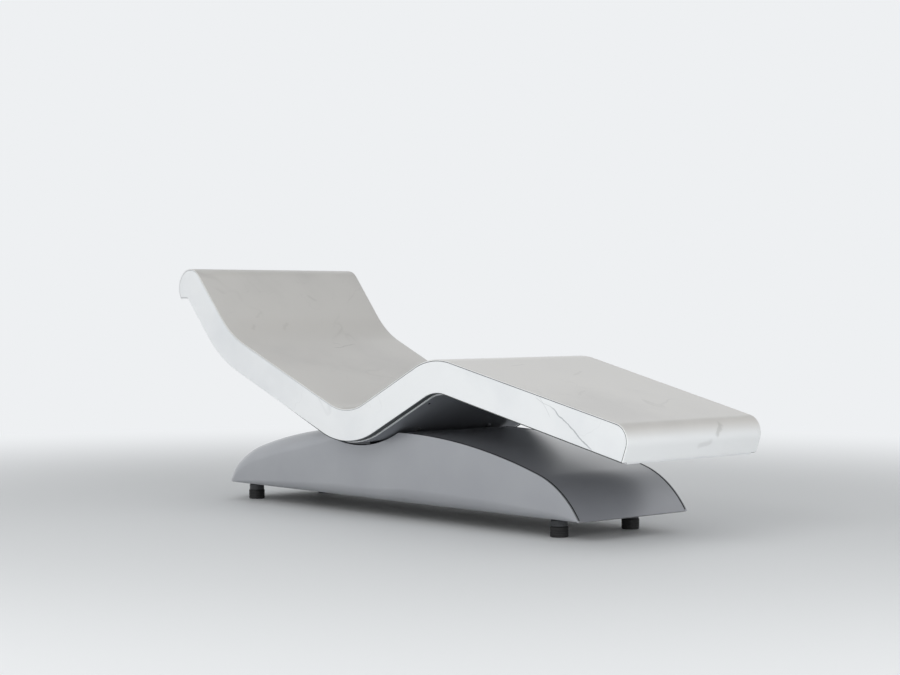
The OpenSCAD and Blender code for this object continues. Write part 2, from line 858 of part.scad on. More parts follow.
module actuator_tube()
  color("silver") translate([gear_front, 0, pin_h]) rotate([0, 90, 0]) difference() {
    cylinder(h = tube_len, d = act_tube_d);
    translate([0, 0, end_cap_len]) cylinder(h = tube_len, d = rod_d + 2 * hole_play);
  }

module actuator_mounts()
  color("slategray") {
    translate([gear_back - mount_t, -gear_side, frame_top])
      cube([mount_t, motor_y + 2 * gear_side, pin_h + gear_h / 2 - frame_top]);
    difference() {
      translate([mount_x - mount_w / 2, -act_tube_d, frame_top])
        cube([mount_w, 2 * act_tube_d, pin_h + act_tube_d / 2 + mount_t - frame_top]);
      translate([mount_x, 0, pin_h]) rotate([0, 90, 0])
        cylinder(h = mount_w + over, d = act_tube_d + 2 * hole_play, center = true);
      translate([mount_x - mount_w, motor_y - gear_side, frame_top + mount_t])
        cube([2 * mount_w, 2 * act_tube_d, section_h]);
    }
  }

module actuator_rod()
  color("silver") translate([pin_rest[0] - fork_back, 0, pin_h]) rotate([0, -90, 0])
    cylinder(h = rod_len, d = rod_d);

module rod_fork()
  color("gray") difference() {
    translate([pin_rest[0] - fork_back, -fork_w / 2, pin_h - fork_h / 2])
      cube([fork_back + fork_front, fork_w, fork_h]);
    translate([pin_rest[0] - fork_slot, -bracket_t / 2 - slide_gap, pin_h - fork_h])
      cube([fork_slot + fork_front + over, bracket_t + 2 * slide_gap, 2 * fork_h]);
    translate([pin_rest[0], 0, pin_h]) rotate([90, 0, 0])
      cylinder(h = fork_w + over, d = pin_d + 2 * roller_bore_play, center = true);
  }

module drive_pin()
  color("silver") translate([pin_rest[0], 0, pin_h]) rotate([90, 0, 0])
    cylinder(h = fork_w + 2 * axle_end, d = pin_d, center = true);

module control_box()
  color("dimgray") translate([box_x, -box_y, frame_z]) cube([box_len, 2 * box_y, box_h]);

module power_supply()
  color("darkgray")
    translate([box_x - supply_gap - supply_len, -supply_w / 2, frame_z])
      cube([supply_len, supply_w, supply_h]);

module mains_inlet()
  color("black") difference() {
    translate([inlet_x - inlet_l / 2, inlet_y - inlet_w / 2, base_clear])
      cube([inlet_l, inlet_w, inlet_h]);
    translate([inlet_x - inlet_l / 2 + inlet_wall, inlet_y - inlet_w / 2 + inlet_wall,
      base_clear - over])
      cube([inlet_l - 2 * inlet_wall, inlet_w - 2 * inlet_wall, inlet_h + over - inlet_wall]);
  }

module foot_pad(x, side)
  color("black") translate([x, side * foot_side, 0]) cylinder(h = pad_h, d = pad_d);

module foot_stem(x, side)
  color("dimgray") translate([x, side * foot_side, pad_h]) {
    cylinder(h = collar_h, d = collar_d);
    cylinder(h = collar_h + stem_len, d = stem_d);
  }

marble_top();
cheek(LEFT);  // cheek_left
cheek(RIGHT);  // cheek_right
heating_mat_back();
heating_mat_seat();
heating_mat_legs();
seat_sensor();
foam_core();
spine(LEFT);  // spine_left
spine(RIGHT);  // spine_right
cross_tubes();
underside_tray();
edge_trim(LEFT);  // edge_trim_left
edge_trim(RIGHT);  // edge_trim_right
foot_lip();
tray_screws();
rail_plate(LEFT);  // rail_plate_left
rail_plate(RIGHT);  // rail_plate_right
rail_bolts();
rocker_cover();
rocker_side(LEFT);  // rocker_side_left
rocker_side(RIGHT);  // rocker_side_right
rocker_crossbar();
drive_bracket();
keeper_shoes();
base_body();
front_top_panel();
saddle_plate();
bottom_plate();
frame_rail(LEFT);  // frame_rail_left
frame_rail(RIGHT);  // frame_rail_right
frame_cross_members();
cradle(LEFT);  // cradle_left
cradle(RIGHT);  // cradle_right
axle_rear();
axle_front();
axle_collars();
roller(-roller_angle, LEFT);  // roller_rear_left
roller(-roller_angle, RIGHT);  // roller_rear_right
roller(roller_angle, LEFT);  // roller_front_left
roller(roller_angle, RIGHT);  // roller_front_right
actuator_gearbox();
actuator_motor();
actuator_tube();
actuator_mounts();
actuator_rod();
rod_fork();
drive_pin();
control_box();
power_supply();
mains_inlet();
foot_pad(rear_foot_x, LEFT);  // foot_pad_rear_left
foot_pad(rear_foot_x, RIGHT);  // foot_pad_rear_right
foot_pad(front_foot_x, LEFT);  // foot_pad_front_left
foot_pad(front_foot_x, RIGHT);  // foot_pad_front_right
foot_stem(rear_foot_x, LEFT);  // foot_stem_rear_left
foot_stem(rear_foot_x, RIGHT);  // foot_stem_rear_right
foot_stem(front_foot_x, LEFT);  // foot_stem_front_left
foot_stem(front_foot_x, RIGHT);  // foot_stem_front_right
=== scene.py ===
"""Dressed model of a heated relaxation lounger: marble slabs on a low lacquered pedestal.

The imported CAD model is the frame. Its visible forms are replaced here by surfaces worked out
from the same sizes, and every node that stays gets the finish of the real material.
Lengths are in millimetres until a mesh is made, which is in metres, and angles in degrees.
"""

import json
import logging
import math
from dataclasses import dataclass, field
from enum import Enum
from typing import Any, Sequence

import bmesh
import bpy
import numpy as np
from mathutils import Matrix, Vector

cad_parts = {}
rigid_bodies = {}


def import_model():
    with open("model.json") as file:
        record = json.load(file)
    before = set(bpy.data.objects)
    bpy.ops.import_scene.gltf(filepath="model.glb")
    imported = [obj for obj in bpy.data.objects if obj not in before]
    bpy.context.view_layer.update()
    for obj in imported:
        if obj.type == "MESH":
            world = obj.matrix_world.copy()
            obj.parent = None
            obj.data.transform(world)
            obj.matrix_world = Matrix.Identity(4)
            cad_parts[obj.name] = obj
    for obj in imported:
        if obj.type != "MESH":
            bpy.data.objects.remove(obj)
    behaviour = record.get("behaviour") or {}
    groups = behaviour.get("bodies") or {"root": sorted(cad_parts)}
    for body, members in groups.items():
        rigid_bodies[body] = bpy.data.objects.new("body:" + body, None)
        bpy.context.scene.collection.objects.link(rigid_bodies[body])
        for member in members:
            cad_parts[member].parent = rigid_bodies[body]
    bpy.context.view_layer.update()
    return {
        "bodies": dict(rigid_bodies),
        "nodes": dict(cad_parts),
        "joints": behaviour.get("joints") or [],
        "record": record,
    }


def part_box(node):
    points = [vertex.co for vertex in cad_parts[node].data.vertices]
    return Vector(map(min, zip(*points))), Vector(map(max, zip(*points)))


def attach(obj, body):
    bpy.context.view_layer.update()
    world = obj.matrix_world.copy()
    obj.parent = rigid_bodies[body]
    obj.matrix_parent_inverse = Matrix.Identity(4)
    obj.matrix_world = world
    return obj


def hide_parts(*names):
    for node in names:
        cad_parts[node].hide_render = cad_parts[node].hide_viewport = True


LOG = logging.getLogger("lounger")
MM = 0.001
SMOOTH = {"interpolation_type": "SMOOTHSTEP"}

Array = np.ndarray
Pair = tuple[float, float]
Triple = tuple[float, float, float]
Thing = bpy.types.Object
Tree = bpy.types.NodeTree
Node = bpy.types.Node


class Body(str, Enum):
    """Bodies of the frame that pieces ride on, beside those of the feet."""

    BASE = "base"
    SHELL = "shell"


class Side(int, Enum):
    """The two long sides of the lounger, seen from the head end."""

    LEFT = -1
    RIGHT = 1

    @property
    def word(self) -> str:
        """Name of the side as the CAD nodes have it."""
        return self.name.lower()


# Lines and meshes

# Angles at which the quarter circle of an eased edge has its points
EASE_ANGLES = (0, 22, 45, 68, 90)
# Lengthwise lines on the flat of a slab or panel, and points round a turned piece
ACROSS_POINTS = 9
TURN_POINTS = 64
# Radius of the tiny cap that closes a turned piece on its axis
POLE_R = 0.01


def direction(angle: float) -> Array:
    """Unit vector of the side view at an angle."""
    a = math.radians(angle)
    return np.array([math.cos(a), math.sin(a)])


def arc(centre: Array, radius: float, start: float, end: float, count: int) -> Array:
    """Points on a circle: centre + radius (cos a, sin a), a running evenly from start to end."""
    a = np.radians(np.linspace(start, end, count))
    return centre + radius * np.stack([np.cos(a), np.sin(a)], axis=1)


def line(start: Array, end: Array, count: int) -> Array:
    """Points spaced evenly on a straight line from start to end."""
    return start + np.linspace(0, 1, count)[:, None] * (end - start)


def column(xz: Array, y: Array | float) -> Array:
    """Points of one lengthwise line from its side view and its distance across."""
    return np.stack([xz[:, 0], np.broadcast_to(y, len(xz)), xz[:, 1]], axis=1)


def eased(radius: float, angles: Sequence[float] = EASE_ANGLES) -> list[Pair]:
    """Eased edge, (r - r sin t, r - r cos t): how far inside two faces its points lie."""
    return [(radius - radius * math.sin(t), radius - radius * math.cos(t)) for t in np.radians(angles)]


def both_sides(half: Sequence[Pair]) -> list[tuple[int, float, float]]:
    """Points round a whole section from half of it: out on one side, and back on the other."""
    return [(1, *point) for point in half] + [(-1, *point) for point in reversed(half)]


def normals(path: Array) -> Array:
    """Unit vectors square to a line in the side view: its steps turned up by 90 degrees."""
    step = np.gradient(path, axis=0) @ [[0, 1], [-1, 0]]
    return step / np.linalg.norm(step, axis=1)[:, None]


def grid_quads(rows: int, cols: int, closed: bool = False, first: int = 0) -> Array:
    """Corner numbers of the faces of a grid of points.

    Args:
        rows: Points along the first parameter.
        cols: Points along the second.
        closed: Whether the last column joins the first.
        first: Number of the first point.

    Returns:
        Four corner numbers for each face.
    """
    i = np.arange(rows - 1)[:, None] * cols
    j = np.arange(cols if closed else cols - 1)[None, :]
    k = (j + 1) % cols
    return np.stack([i + j, i + k, i + cols + k, i + cols + j], axis=-1).reshape(-1, 4) + first


def placed(name: str, data: Any) -> Thing:
    """New object in the scene.

    Args:
        name: Its name.
        data: Its mesh, light or camera.

    Returns:
        The object.
    """
    thing = bpy.data.objects.new(name, data)
    bpy.context.scene.collection.objects.link(thing)
    return thing


def mesh_piece(name: str, points: Array, faces: Sequence[Sequence[int]], sharp: float = 32.0) -> Thing:
    """Make a piece at the origin, smooth, with its doubles merged and its faces outwards.

    Args:
        name: Name of the piece.
        points: Corner points.
        faces: Corner numbers of each face.
        sharp: Angle past which an edge is drawn sharp.

    Returns:
        The new object.
    """
    mesh = bpy.data.meshes.new(name)
    mesh.from_pydata((points * MM).tolist(), [], [list(map(int, f)) for f in faces])
    work = bmesh.new()
    work.from_mesh(mesh)
    bmesh.ops.remove_doubles(work, verts=work.verts, dist=1e-6)
    bmesh.ops.recalc_face_normals(work, faces=work.faces)
    work.to_mesh(mesh)
    work.free()
    mesh.polygons.foreach_set("use_smooth", np.ones(len(mesh.polygons), dtype=bool))
    mesh.set_sharp_from_angle(angle=math.radians(sharp))
    mesh.validate()
    return placed(name, mesh)


def swept_piece(name: str, loops: Array) -> Thing:
    """Make a closed bar from closed section loops carried along a path, capped at both ends.

    Args:
        name: Name of the piece.
        loops: Array of stations by section points by three coordinates.

    Returns:
        The new object.
    """
    stations, around = loops.shape[:2]
    faces = grid_quads(stations, around, closed=True).tolist()
    faces.append(list(range(around)))
    faces.append(list(range((stations - 1) * around, stations * around)))
    return mesh_piece(name, loops.reshape(-1, 3), faces)


def turned_piece(name: str, rings: Sequence[Pair], centre: Pair) -> Thing:
    """Make a turned piece: each (r, z) becomes (r cos a, r sin a, z) about an upright line.

    Args:
        name: Name of the piece.
        rings: Radius and height of each ring, closed by flat caps.
        centre: Place of the upright line in plan.

    Returns:
        The new object.
    """
    a = np.linspace(0, 2 * math.pi, TURN_POINTS, endpoint=False)
    r, z = np.array(rings).T[:, :, None]
    return swept_piece(name, np.stack([centre[0] + r * np.cos(a), centre[1] + r * np.sin(a), z + 0 * a], -1))


# Finishes


def linear(colour: str) -> tuple[float, ...]:
    """Linear colour of an sRGB hex value: ((c + 0.055) / 1.055) to the power 2.4, or c / 12.92."""
    c = np.array([int(colour[i : i + 2], 16) for i in (1, 3, 5)]) / 255
    return (*np.where(c <= 0.04045, c / 12.92, ((c + 0.055) / 1.055) ** 2.4).tolist(), 1.0)


def add(tree: Tree, kind: str, links: dict[Any, Any] | None = None, **settings: Any) -> Node:
    """Add a shader node, set it up, and fill or link its sockets.

    Args:
        tree: Node tree that gets the node.
        kind: Blender's name of the node, without its first word.
        links: Value, output socket or node (its first output) for each input by name or number.
        **settings: Properties of the node.

    Returns:
        The new node.
    """
    node = tree.nodes.new("ShaderNode" + kind)
    for key, value in settings.items():
        setattr(node, key, value)
    for key, value in (links or {}).items():
        source = value.outputs[0] if isinstance(value, Node) else value
        if isinstance(source, bpy.types.NodeSocket):
            tree.links.new(source, node.inputs[key])
        else:
            node.inputs[key].default_value = source
    return node


def new_material(name: str) -> bpy.types.Material:
    """New material with an empty tree.

    Args:
        name: Its name.

    Returns:
        The material.
    """
    material = bpy.data.materials.new(name)
    material.use_nodes = True
    material.node_tree.nodes.clear()
    return material


@dataclass(frozen=True)
class Finish:
    """Two tones mixed by a mottle of noise at a real size, and a finer noise for gloss and grain."""

    name: str
    tone: str
    tone_alt: str
    mottle_mm: float
    roughness: Pair
    grain_mm: float
    grain_depth_mm: float = 0.01
    metallic: float = 0.0
    coat: float = 0.0
    coat_roughness: float = 0.1
    stretch: Triple = (1.0, 1.0, 1.0)
    shift: Triple = (0.0, 0.0, 0.0)
    turn: Triple = (0.0, 0.0, 0.0)

    def share(self, tree: Tree, place: Node) -> Node:
        """Share of the second tone: a mottle of noise, spread over the middle of its range."""
        mottle = add(tree, "TexNoise", {"Vector": place, "Scale": 1 / (self.mottle_mm * MM), "Detail": 4.0})
        return add(tree, "MapRange", {"Value": mottle, "From Min": 0.3, "From Max": 0.7})

    def colour(self, tree: Tree, place: Node) -> Node:
        """The two tones, mixed by their share."""
        share = self.share(tree, place)
        return add(tree, "MixRGB", {0: share, 1: linear(self.tone), 2: linear(self.tone_alt)})

    def material(self) -> bpy.types.Material:
        """The finished material: colour, roughness and grain on one shader.

        Returns:
            The material.
        """
        material = new_material(self.name)
        tree = material.node_tree
        mapping = {"Location": self.shift, "Rotation": self.turn, "Scale": self.stretch}
        place = add(tree, "Mapping", {"Vector": add(tree, "TexCoord").outputs["Object"], **mapping})
        fine = add(tree, "TexNoise", {"Vector": place, "Scale": 1 / (self.grain_mm * MM), "Detail": 3.0})
        low, high = self.roughness
        rough = add(tree, "MapRange", {"Value": fine, "To Min": low, "To Max": high})
        depth = self.grain_depth_mm * MM
        sockets = {
            "Base Color": self.colour(tree, place),
            "Metallic": self.metallic,
            "Roughness": rough,
            "Normal": add(tree, "Bump", {"Height": fine, "Strength": 0.5, "Distance": depth}),
            "Coat Weight": self.coat,
            "Coat Roughness": self.coat_roughness,
        }
        add(tree, "OutputMaterial", {"Surface": add(tree, "BsdfPrincipled", sockets)})
        return material


@dataclass(frozen=True)
class JointFiller(Finish):
    """Matt filler whose first tone turns into the second along x, over the length of its mottle, as painted
    shade.
    """

    change_x: float = -250.0

    def share(self, tree: Tree, place: Node) -> Node:
        """Share of the second tone: 0 before change_x, rising smoothly to 1 over the mottle's length."""
        # Painted shade: the joint turns darker towards the foot end
        limits = {"From Min": self.change_x * MM, "From Max": (self.change_x + self.mottle_mm) * MM}
        return add(tree, "MapRange", {"Value": add(tree, "SeparateXYZ", {0: place}), **limits}, **SMOOTH)


@dataclass(frozen=True)
class Vein:
    """One drawn vein: a wavering line on the stone from start to end, thin in the direction across.

    It is full up to core and gone at rim, in widths from its line. It fades over a taper, a
    share of its length, and in depth between the two depths of its sheet.
    """

    start: Triple
    end: Triple
    across: Triple
    width: float
    waver: float
    waver_length: float
    strength: float
    core: float = 0.3
    rim: float = 1.6
    taper: float = 0.2
    sheet: Pair = (50.0, 80.0)

    def share(self, tree: Tree, coords: Any) -> Any:
        """Share of the vein: its strength times a band in v, ramps at both ends of u and one in w.

        u runs along its line, v across it with the waver, and w into the stone.

        Args:
            tree: Tree of the material.
            coords: Socket with the object coordinates.

        Returns:
            Node with the share.
        """
        start, end = np.array(self.start) * MM, np.array(self.end) * MM
        length = float(np.linalg.norm(end - start))
        along = (end - start) / length
        across = np.array(self.across) - np.dot(self.across, along) * along
        across = across / np.linalg.norm(across)
        offset = add(tree, "VectorMath", {0: coords, 1: tuple(start)}, operation="SUBTRACT")
        u, v, w = (
            add(tree, "VectorMath", {0: offset, 1: tuple(axis)}, operation="DOT_PRODUCT").outputs["Value"]
            for axis in (along, across, np.cross(along, across))
        )
        scale, reach = 1 / (self.waver_length * MM), self.waver * MM
        waver = add(tree, "TexNoise", {"Vector": coords, "Scale": scale, "Detail": 3.0})
        shift = add(tree, "MapRange", {"Value": waver, "To Min": -reach, "To Max": reach})
        off = add(tree, "Math", {0: v, 1: shift}, operation="ADD")
        gap = add(tree, "Math", {0: off}, operation="ABSOLUTE")
        deep = add(tree, "Math", {0: w}, operation="ABSOLUTE")
        width, taper = self.width * MM, self.taper * length
        ramps = (
            (gap, self.rim * width, self.core * width, SMOOTH),
            (u, 0.0, taper, SMOOTH),
            (u, length, length - taper, SMOOTH),
            (deep, self.sheet[1] * MM, self.sheet[0] * MM, {}),
        )
        share: Any = self.strength
        for value, low, high, easing in ramps:
            ramp = add(tree, "MapRange", {"Value": value, "From Min": low, "From Max": high}, **easing)
            share = add(tree, "Math", {0: share, 1: ramp}, operation="MULTIPLY")
        return share


@dataclass(frozen=True)
class HonedMarble(Finish):
    """Honed white marble: soft clouds of the second tone, nets of hair-thin veins, some drawn veins.

    A slow noise bends the coordinates of clouds and nets, and shows the nets in patches only.
    """

    mottle_mm: float = 420.0
    roughness: Pair = (0.27, 0.35)
    grain_mm: float = 1.5
    grain_depth_mm: float = 0.004
    turn: Triple = (0.4, 0.3, 0.5)
    vein_tone: str = "#8f9398"
    vein_mm: float = 520.0
    vein_width: float = 0.011
    vein_strength: float = 0.2
    # Shares of size, width and strength of the coarse net and of the fine one
    net_shares: tuple[Triple, ...] = ((1.0, 1.0, 1.0), (0.37, 0.7, 0.5))
    # Paler tone of the edges, where the painted shade of the tops gives way, and the strength of that
    # painted shade
    edge_tone: str = "#e9ebec"
    edge_strength: float = 0.0
    # Height of the normal where the paler edge tone starts and where it is full: painted shade of the tops
    # by the normal
    edge_normals: Pair = (0.8, -0.1)
    # Cycles of the slow noise in a metre, and how many metres it bends the coordinates
    warp_scale: float = 3.0
    warp_reach: float = 0.22
    # Values of the noises between which clouds and patches come in
    cloud_range: Pair = (0.42, 0.78)
    patch_range: Pair = (0.48, 0.62)
    veins: tuple[Vein, ...] = ()

    def net(self, tree: Tree, place: Node, shares: Triple) -> Node:
        """Net of thin lines where a noise crosses its middle: full at |noise - 0.5| = 0.

        Args:
            tree: Tree of the material.
            place: Node with the bent coordinates.
            shares: The net's own shares of size, width and strength.

        Returns:
            Node with the share of the net.
        """
        size, width, strength = np.array(shares) * (self.vein_mm * MM, self.vein_width, self.vein_strength)
        noise = add(tree, "TexNoise", {"Vector": place, "Scale": 1 / size, "Detail": 3.5})
        centred = add(tree, "Math", {0: noise, 1: 0.5}, operation="SUBTRACT")
        spread = add(tree, "Math", {0: centred}, operation="ABSOLUTE")
        ramp = {"Value": spread, "From Min": width, "From Max": 0.0, "To Max": strength}
        return add(tree, "MapRange", ramp, **SMOOTH)

    def colour(self, tree: Tree, place: Node) -> Node:
        """Clouds on the ground tone, then the paler edges of the painted shade by the normal, the nets in
        their patches and drawn veins.

        Args:
            tree: Tree of the material.
            place: Node with the stone's own coordinates.

        Returns:
            Node with the colour.
        """
        warp = add(tree, "TexNoise", {"Vector": place, "Scale": self.warp_scale, "Detail": 3.0})
        reach = {0: warp.outputs["Color"], "Scale": self.warp_reach}
        bend = add(tree, "VectorMath", reach, operation="SCALE")
        bent = add(tree, "VectorMath", {0: place, 1: bend}, operation="ADD")
        cloud = add(tree, "TexNoise", {"Vector": bent, "Scale": 1 / (self.mottle_mm * MM), "Detail": 6.0})
        low, high = self.cloud_range
        ramp = {"Value": cloud, "From Min": low, "From Max": high}
        share = add(tree, "MapRange", ramp, **SMOOTH)
        ground = add(tree, "MixRGB", {0: share, 1: linear(self.tone), 2: linear(self.tone_alt)})
        # Painted shade by the normal: faces turned up keep the darker ground, side edges and the rolled
        # ends, which turn away from the top, are paler
        normal = add(tree, "SeparateXYZ", {0: add(tree, "NewGeometry").outputs["Normal"]})
        low, high = self.edge_normals
        ramp = {"Value": normal.outputs[2], "From Min": low, "From Max": high, "To Max": self.edge_strength}
        paler = add(tree, "MapRange", ramp, **SMOOTH)
        ground = add(tree, "MixRGB", {0: paler, 1: ground, 2: linear(self.edge_tone)})
        low, high = self.patch_range
        patch = add(tree, "MapRange", {"Value": warp, "From Min": low, "From Max": high})
        nets = [self.net(tree, bent, shares) for shares in self.net_shares]
        shares = [add(tree, "Math", {0: net, 1: patch}, operation="MULTIPLY") for net in nets]
        coords = add(tree, "TexCoord").outputs["Object"]
        shares += [vein.share(tree, coords) for vein in self.veins]
        for share in shares:
            ground = add(tree, "MixRGB", {0: share, 1: ground, 2: linear(self.vein_tone)})
        return ground


TOP_VEINS = (
    Vein((-641, 128, 532.6), (-612, 0, 532.6), (1, 0, 0), 1.4, 9, 40, 0.55),
    Vein((-640, 60, 532.6), (-655, 30, 532.6), (1, 0, 0), 1.2, 6, 30, 0.5),
    Vein((-765, -76, 612), (-735, -120, 588), (1, 0, -1), 6.0, 12, 40, 0.13),
    Vein((-760, -222, 605), (-740, -250, 585), (1, 0, -1), 5.0, 12, 36, 0.13),
    Vein((-800, -160, 648), (-778, -205, 624), (1, 0, -1), 4.0, 10, 30, 0.1),
    Vein((-850, 70, 706), (-832, 105, 686), (1, 0, -1), 6.0, 12, 36, 0.13),
    Vein((380, -40, 493), (396, -120, 490), (1, 0, 0), 4.0, 9, 40, 0.16),
    Vein((470, 110, 473), (520, 20, 462), (1, 0, 0), 4.0, 9, 40, 0.16),
    Vein((670, -80, 426), (720, -170, 415), (1, 0, 0), 4.0, 9, 40, 0.14),
    Vein((1023, 122, 340), (1023, 84, 298), (0, 1, 0), 7.0, 14, 30, 0.3),
    Vein((1021, 76, 290), (1016, 6, 276), (0, 0, 1), 7.0, 9, 40, 0.16),
)
CHEEK_VEINS = (
    Vein((676, -296, 416), (758, -294, 380), (0, 0, 1), 1.2, 7, 70, 0.3),
    Vein((730, -296, 398), (908, -289, 262), (1, 0, 1), 1.9, 9, 45, 0.72),
    Vein((690, -296, 424), (742, -294, 352), (1, 0, 1), 1.0, 7, 50, 0.25),
)
# Honed white marble: ground matt by fine grit, its sheen is broad and soft. The top slabs are
# painted a darker warm grey as painted shade, paler towards their edges; the cheeks have a cooler white
TOP_MARBLE_PAINTED_SHADE = HonedMarble(
    "honed_marble_slab", "#c7c5c1", "#bab8b5", vein_tone="#82807d", edge_strength=1.0,
    shift=(0.35, 0.0, 0.25), veins=TOP_VEINS,
)
CHEEK_MARBLE = HonedMarble(
    "honed_marble_cheek", "#e9ebec", "#d9dcdf", shift=(0.9, 0.4, 2.1), veins=CHEEK_VEINS
)
# Metallic lacquer: fine flake under a satin clear coat, brighter where it faces the light
SILVER_LACQUER = Finish(
    "satin_silver_lacquer", "#a4a6aa", "#9c9ea3", 260.0, (0.3, 0.38), 1.2, 0.004, 0.35, 0.6, 0.2
)
# The front panel's copy of the lacquer is painted darker than the flanks: painted shade
PANEL_LACQUER_PAINTED_SHADE = Finish(
    "satin_silver_lacquer_panel", "#8c8e93", "#84868b", 260.0, (0.28, 0.36), 1.2, 0.004, 0.25, 0.4, 0.26
)
# Satin grey lacquer of the saddle and rocker, darker and a little duller
SADDLE_LACQUER = Finish(
    "satin_grey_lacquer", "#5c5f64", "#54575c", 180.0, (0.34, 0.44), 1.5, 0.004, 0.25, 0.2, 0.3
)
ROCKER_LACQUER = Finish(
    "satin_dark_grey_lacquer", "#484b50", "#414449", 180.0, (0.34, 0.44), 1.5, 0.004, 0.2, 0.2, 0.3
)
# Anodised aluminium: matt etched skin with a faint drawing direction along the part
TRAY_ANODISED = Finish(
    "dark_anodised_aluminium", "#85888e", "#7c7f85", 160.0, (0.4, 0.5), 1.0, 0.004, 0.4,
    stretch=(0.12, 1.0, 1.0),
)
TRIM_ANODISED = Finish(
    "satin_anodised_aluminium", "#eceeef", "#e4e6e8", 90.0, (0.3, 0.4), 0.8, 0.003, 0.35,
    stretch=(0.08, 1.0, 1.0),
)
DRAWN_ALUMINIUM = Finish(
    "drawn_aluminium_tube", "#b4b6b8", "#a6a8aa", 60.0, (0.28, 0.4), 0.7, 0.003, 0.95,
    stretch=(0.06, 1.0, 1.0),
)
# Steel: ground plates show fine parallel scratches, turned parts rings across their axis
GROUND_STEEL = Finish(
    "ground_steel", "#9a9c9e", "#8b8d90", 50.0, (0.3, 0.45), 0.8, 0.006, 1.0, stretch=(0.1, 1.0, 1.0)
)
TURNED_STEEL = Finish(
    "turned_steel", "#b9bbbd", "#a9abad", 30.0, (0.18, 0.3), 0.6, 0.004, 1.0, stretch=(1.0, 0.1, 1.0)
)
SENSOR_STEEL = Finish("sensor_capsule_steel", "#b0b2b4", "#a2a4a6", 8.0, (0.2, 0.3), 0.5, 0.003, 1.0)
# Powder coat: an orange-peel skin, even and half matt
POWDER_COAT = Finish("powder_coat", "#2f3235", "#292c2f", 80.0, (0.45, 0.6), 1.8, 0.03)
COATED_SHEET = Finish("coated_steel_sheet", "#2a2b2d", "#242527", 120.0, (0.4, 0.55), 1.6, 0.02)
FOOT_COAT = Finish("foot_powder_coat", "#45474a", "#3c3e41", 30.0, (0.42, 0.55), 1.4, 0.02)
# Moulded plastics: a spark-eroded skin, or the smoother one of a cast or sliding part
MOULDED_HOUSING = Finish("moulded_abs_housing", "#1c1d1e", "#222324", 40.0, (0.45, 0.6), 1.2, 0.03)
ENCLOSURE = Finish("moulded_enclosure", "#26282a", "#2c2e30", 60.0, (0.5, 0.62), 1.2, 0.03)
CAST_POLYAMIDE = Finish("cast_polyamide", "#c9c5b6", "#bfbaa9", 20.0, (0.4, 0.5), 1.0)
SLIDING_POLYMER = Finish("sliding_polymer", "#1d1d1e", "#232324", 20.0, (0.35, 0.5), 1.0)
# Rubber and silicone: dull and slightly bloomed
# The dark strip under the cheeks stands where there is only shade: painted shade
SHADE_STRIP_RUBBER = Finish("extruded_rubber_seal", "#2c3133", "#33393b", 14.0, (0.5, 0.65), 1.0, 0.02)
PAD_RUBBER = Finish("moulded_rubber", "#111112", "#1a1a1b", 18.0, (0.6, 0.78), 1.0, 0.03)
SILICONE_MAT = Finish("silicone_heating_mat", "#8f3a24", "#7f3020", 40.0, (0.5, 0.65), 1.5, 0.05)
# Resin filler of the marble joint: matt, painted darker towards the foot end as painted shade
JOINT_FILLER_PAINTED_SHADE = JointFiller("resin_joint_filler", "#b4b6b7", "#4a4c4f", 600.0, (0.5, 0.65), 1.0)
# Black joint sealant, drawn off smooth and half matt
JOINT_SEALANT = Finish("joint_sealant", "#0d0d0e", "#131314", 12.0, (0.5, 0.65), 1.0, 0.02)
# Rigid foam: dry open cells with no gloss
RIGID_FOAM = Finish("rigid_foam", "#d8caa0", "#cdbd90", 6.0, (0.75, 0.9), 1.5, 0.2)


@dataclass
class Workshop:
    """Makes each material once and puts it on pieces and on the CAD nodes of the frame."""

    frame: dict[str, Any]
    made: dict[str, bpy.types.Material] = field(default_factory=dict)

    def dress(self, thing: Thing, finish: Finish) -> None:
        """Give every material slot of an object one finish, whose material is made on first use.

        Args:
            thing: Piece or CAD node.
            finish: Its finish.
        """
        if finish.name not in self.made:
            self.made[finish.name] = finish.material()
        material = self.made[finish.name]
        if not thing.material_slots:
            thing.data.materials.append(material)
        for slot in thing.material_slots:
            slot.material = material

    def nodes(self, finish: Finish, *names: str) -> None:
        """Dress CAD nodes that stay.

        Args:
            finish: Their finish.
            *names: The nodes.
        """
        for name in names:
            self.dress(self.frame["nodes"][name], finish)
            LOG.info("node %s: %s", name, finish.name)

    def piece(self, thing: Thing, body: str, slot: str, finish: Finish, *stands_for: str) -> None:
        """Dress a new piece and fix it to its body.

        Args:
            thing: The piece.
            body: Body that it rides on.
            slot: Material slot of the record; not used.
            finish: Its finish.
            *stands_for: CAD nodes that it replaces.
        """
        self.dress(thing, finish)
        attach(thing, body)
        if stands_for:
            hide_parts(*stands_for)
        LOG.info("piece %s on %s: %d faces", thing.name, body, len(thing.data.polygons))


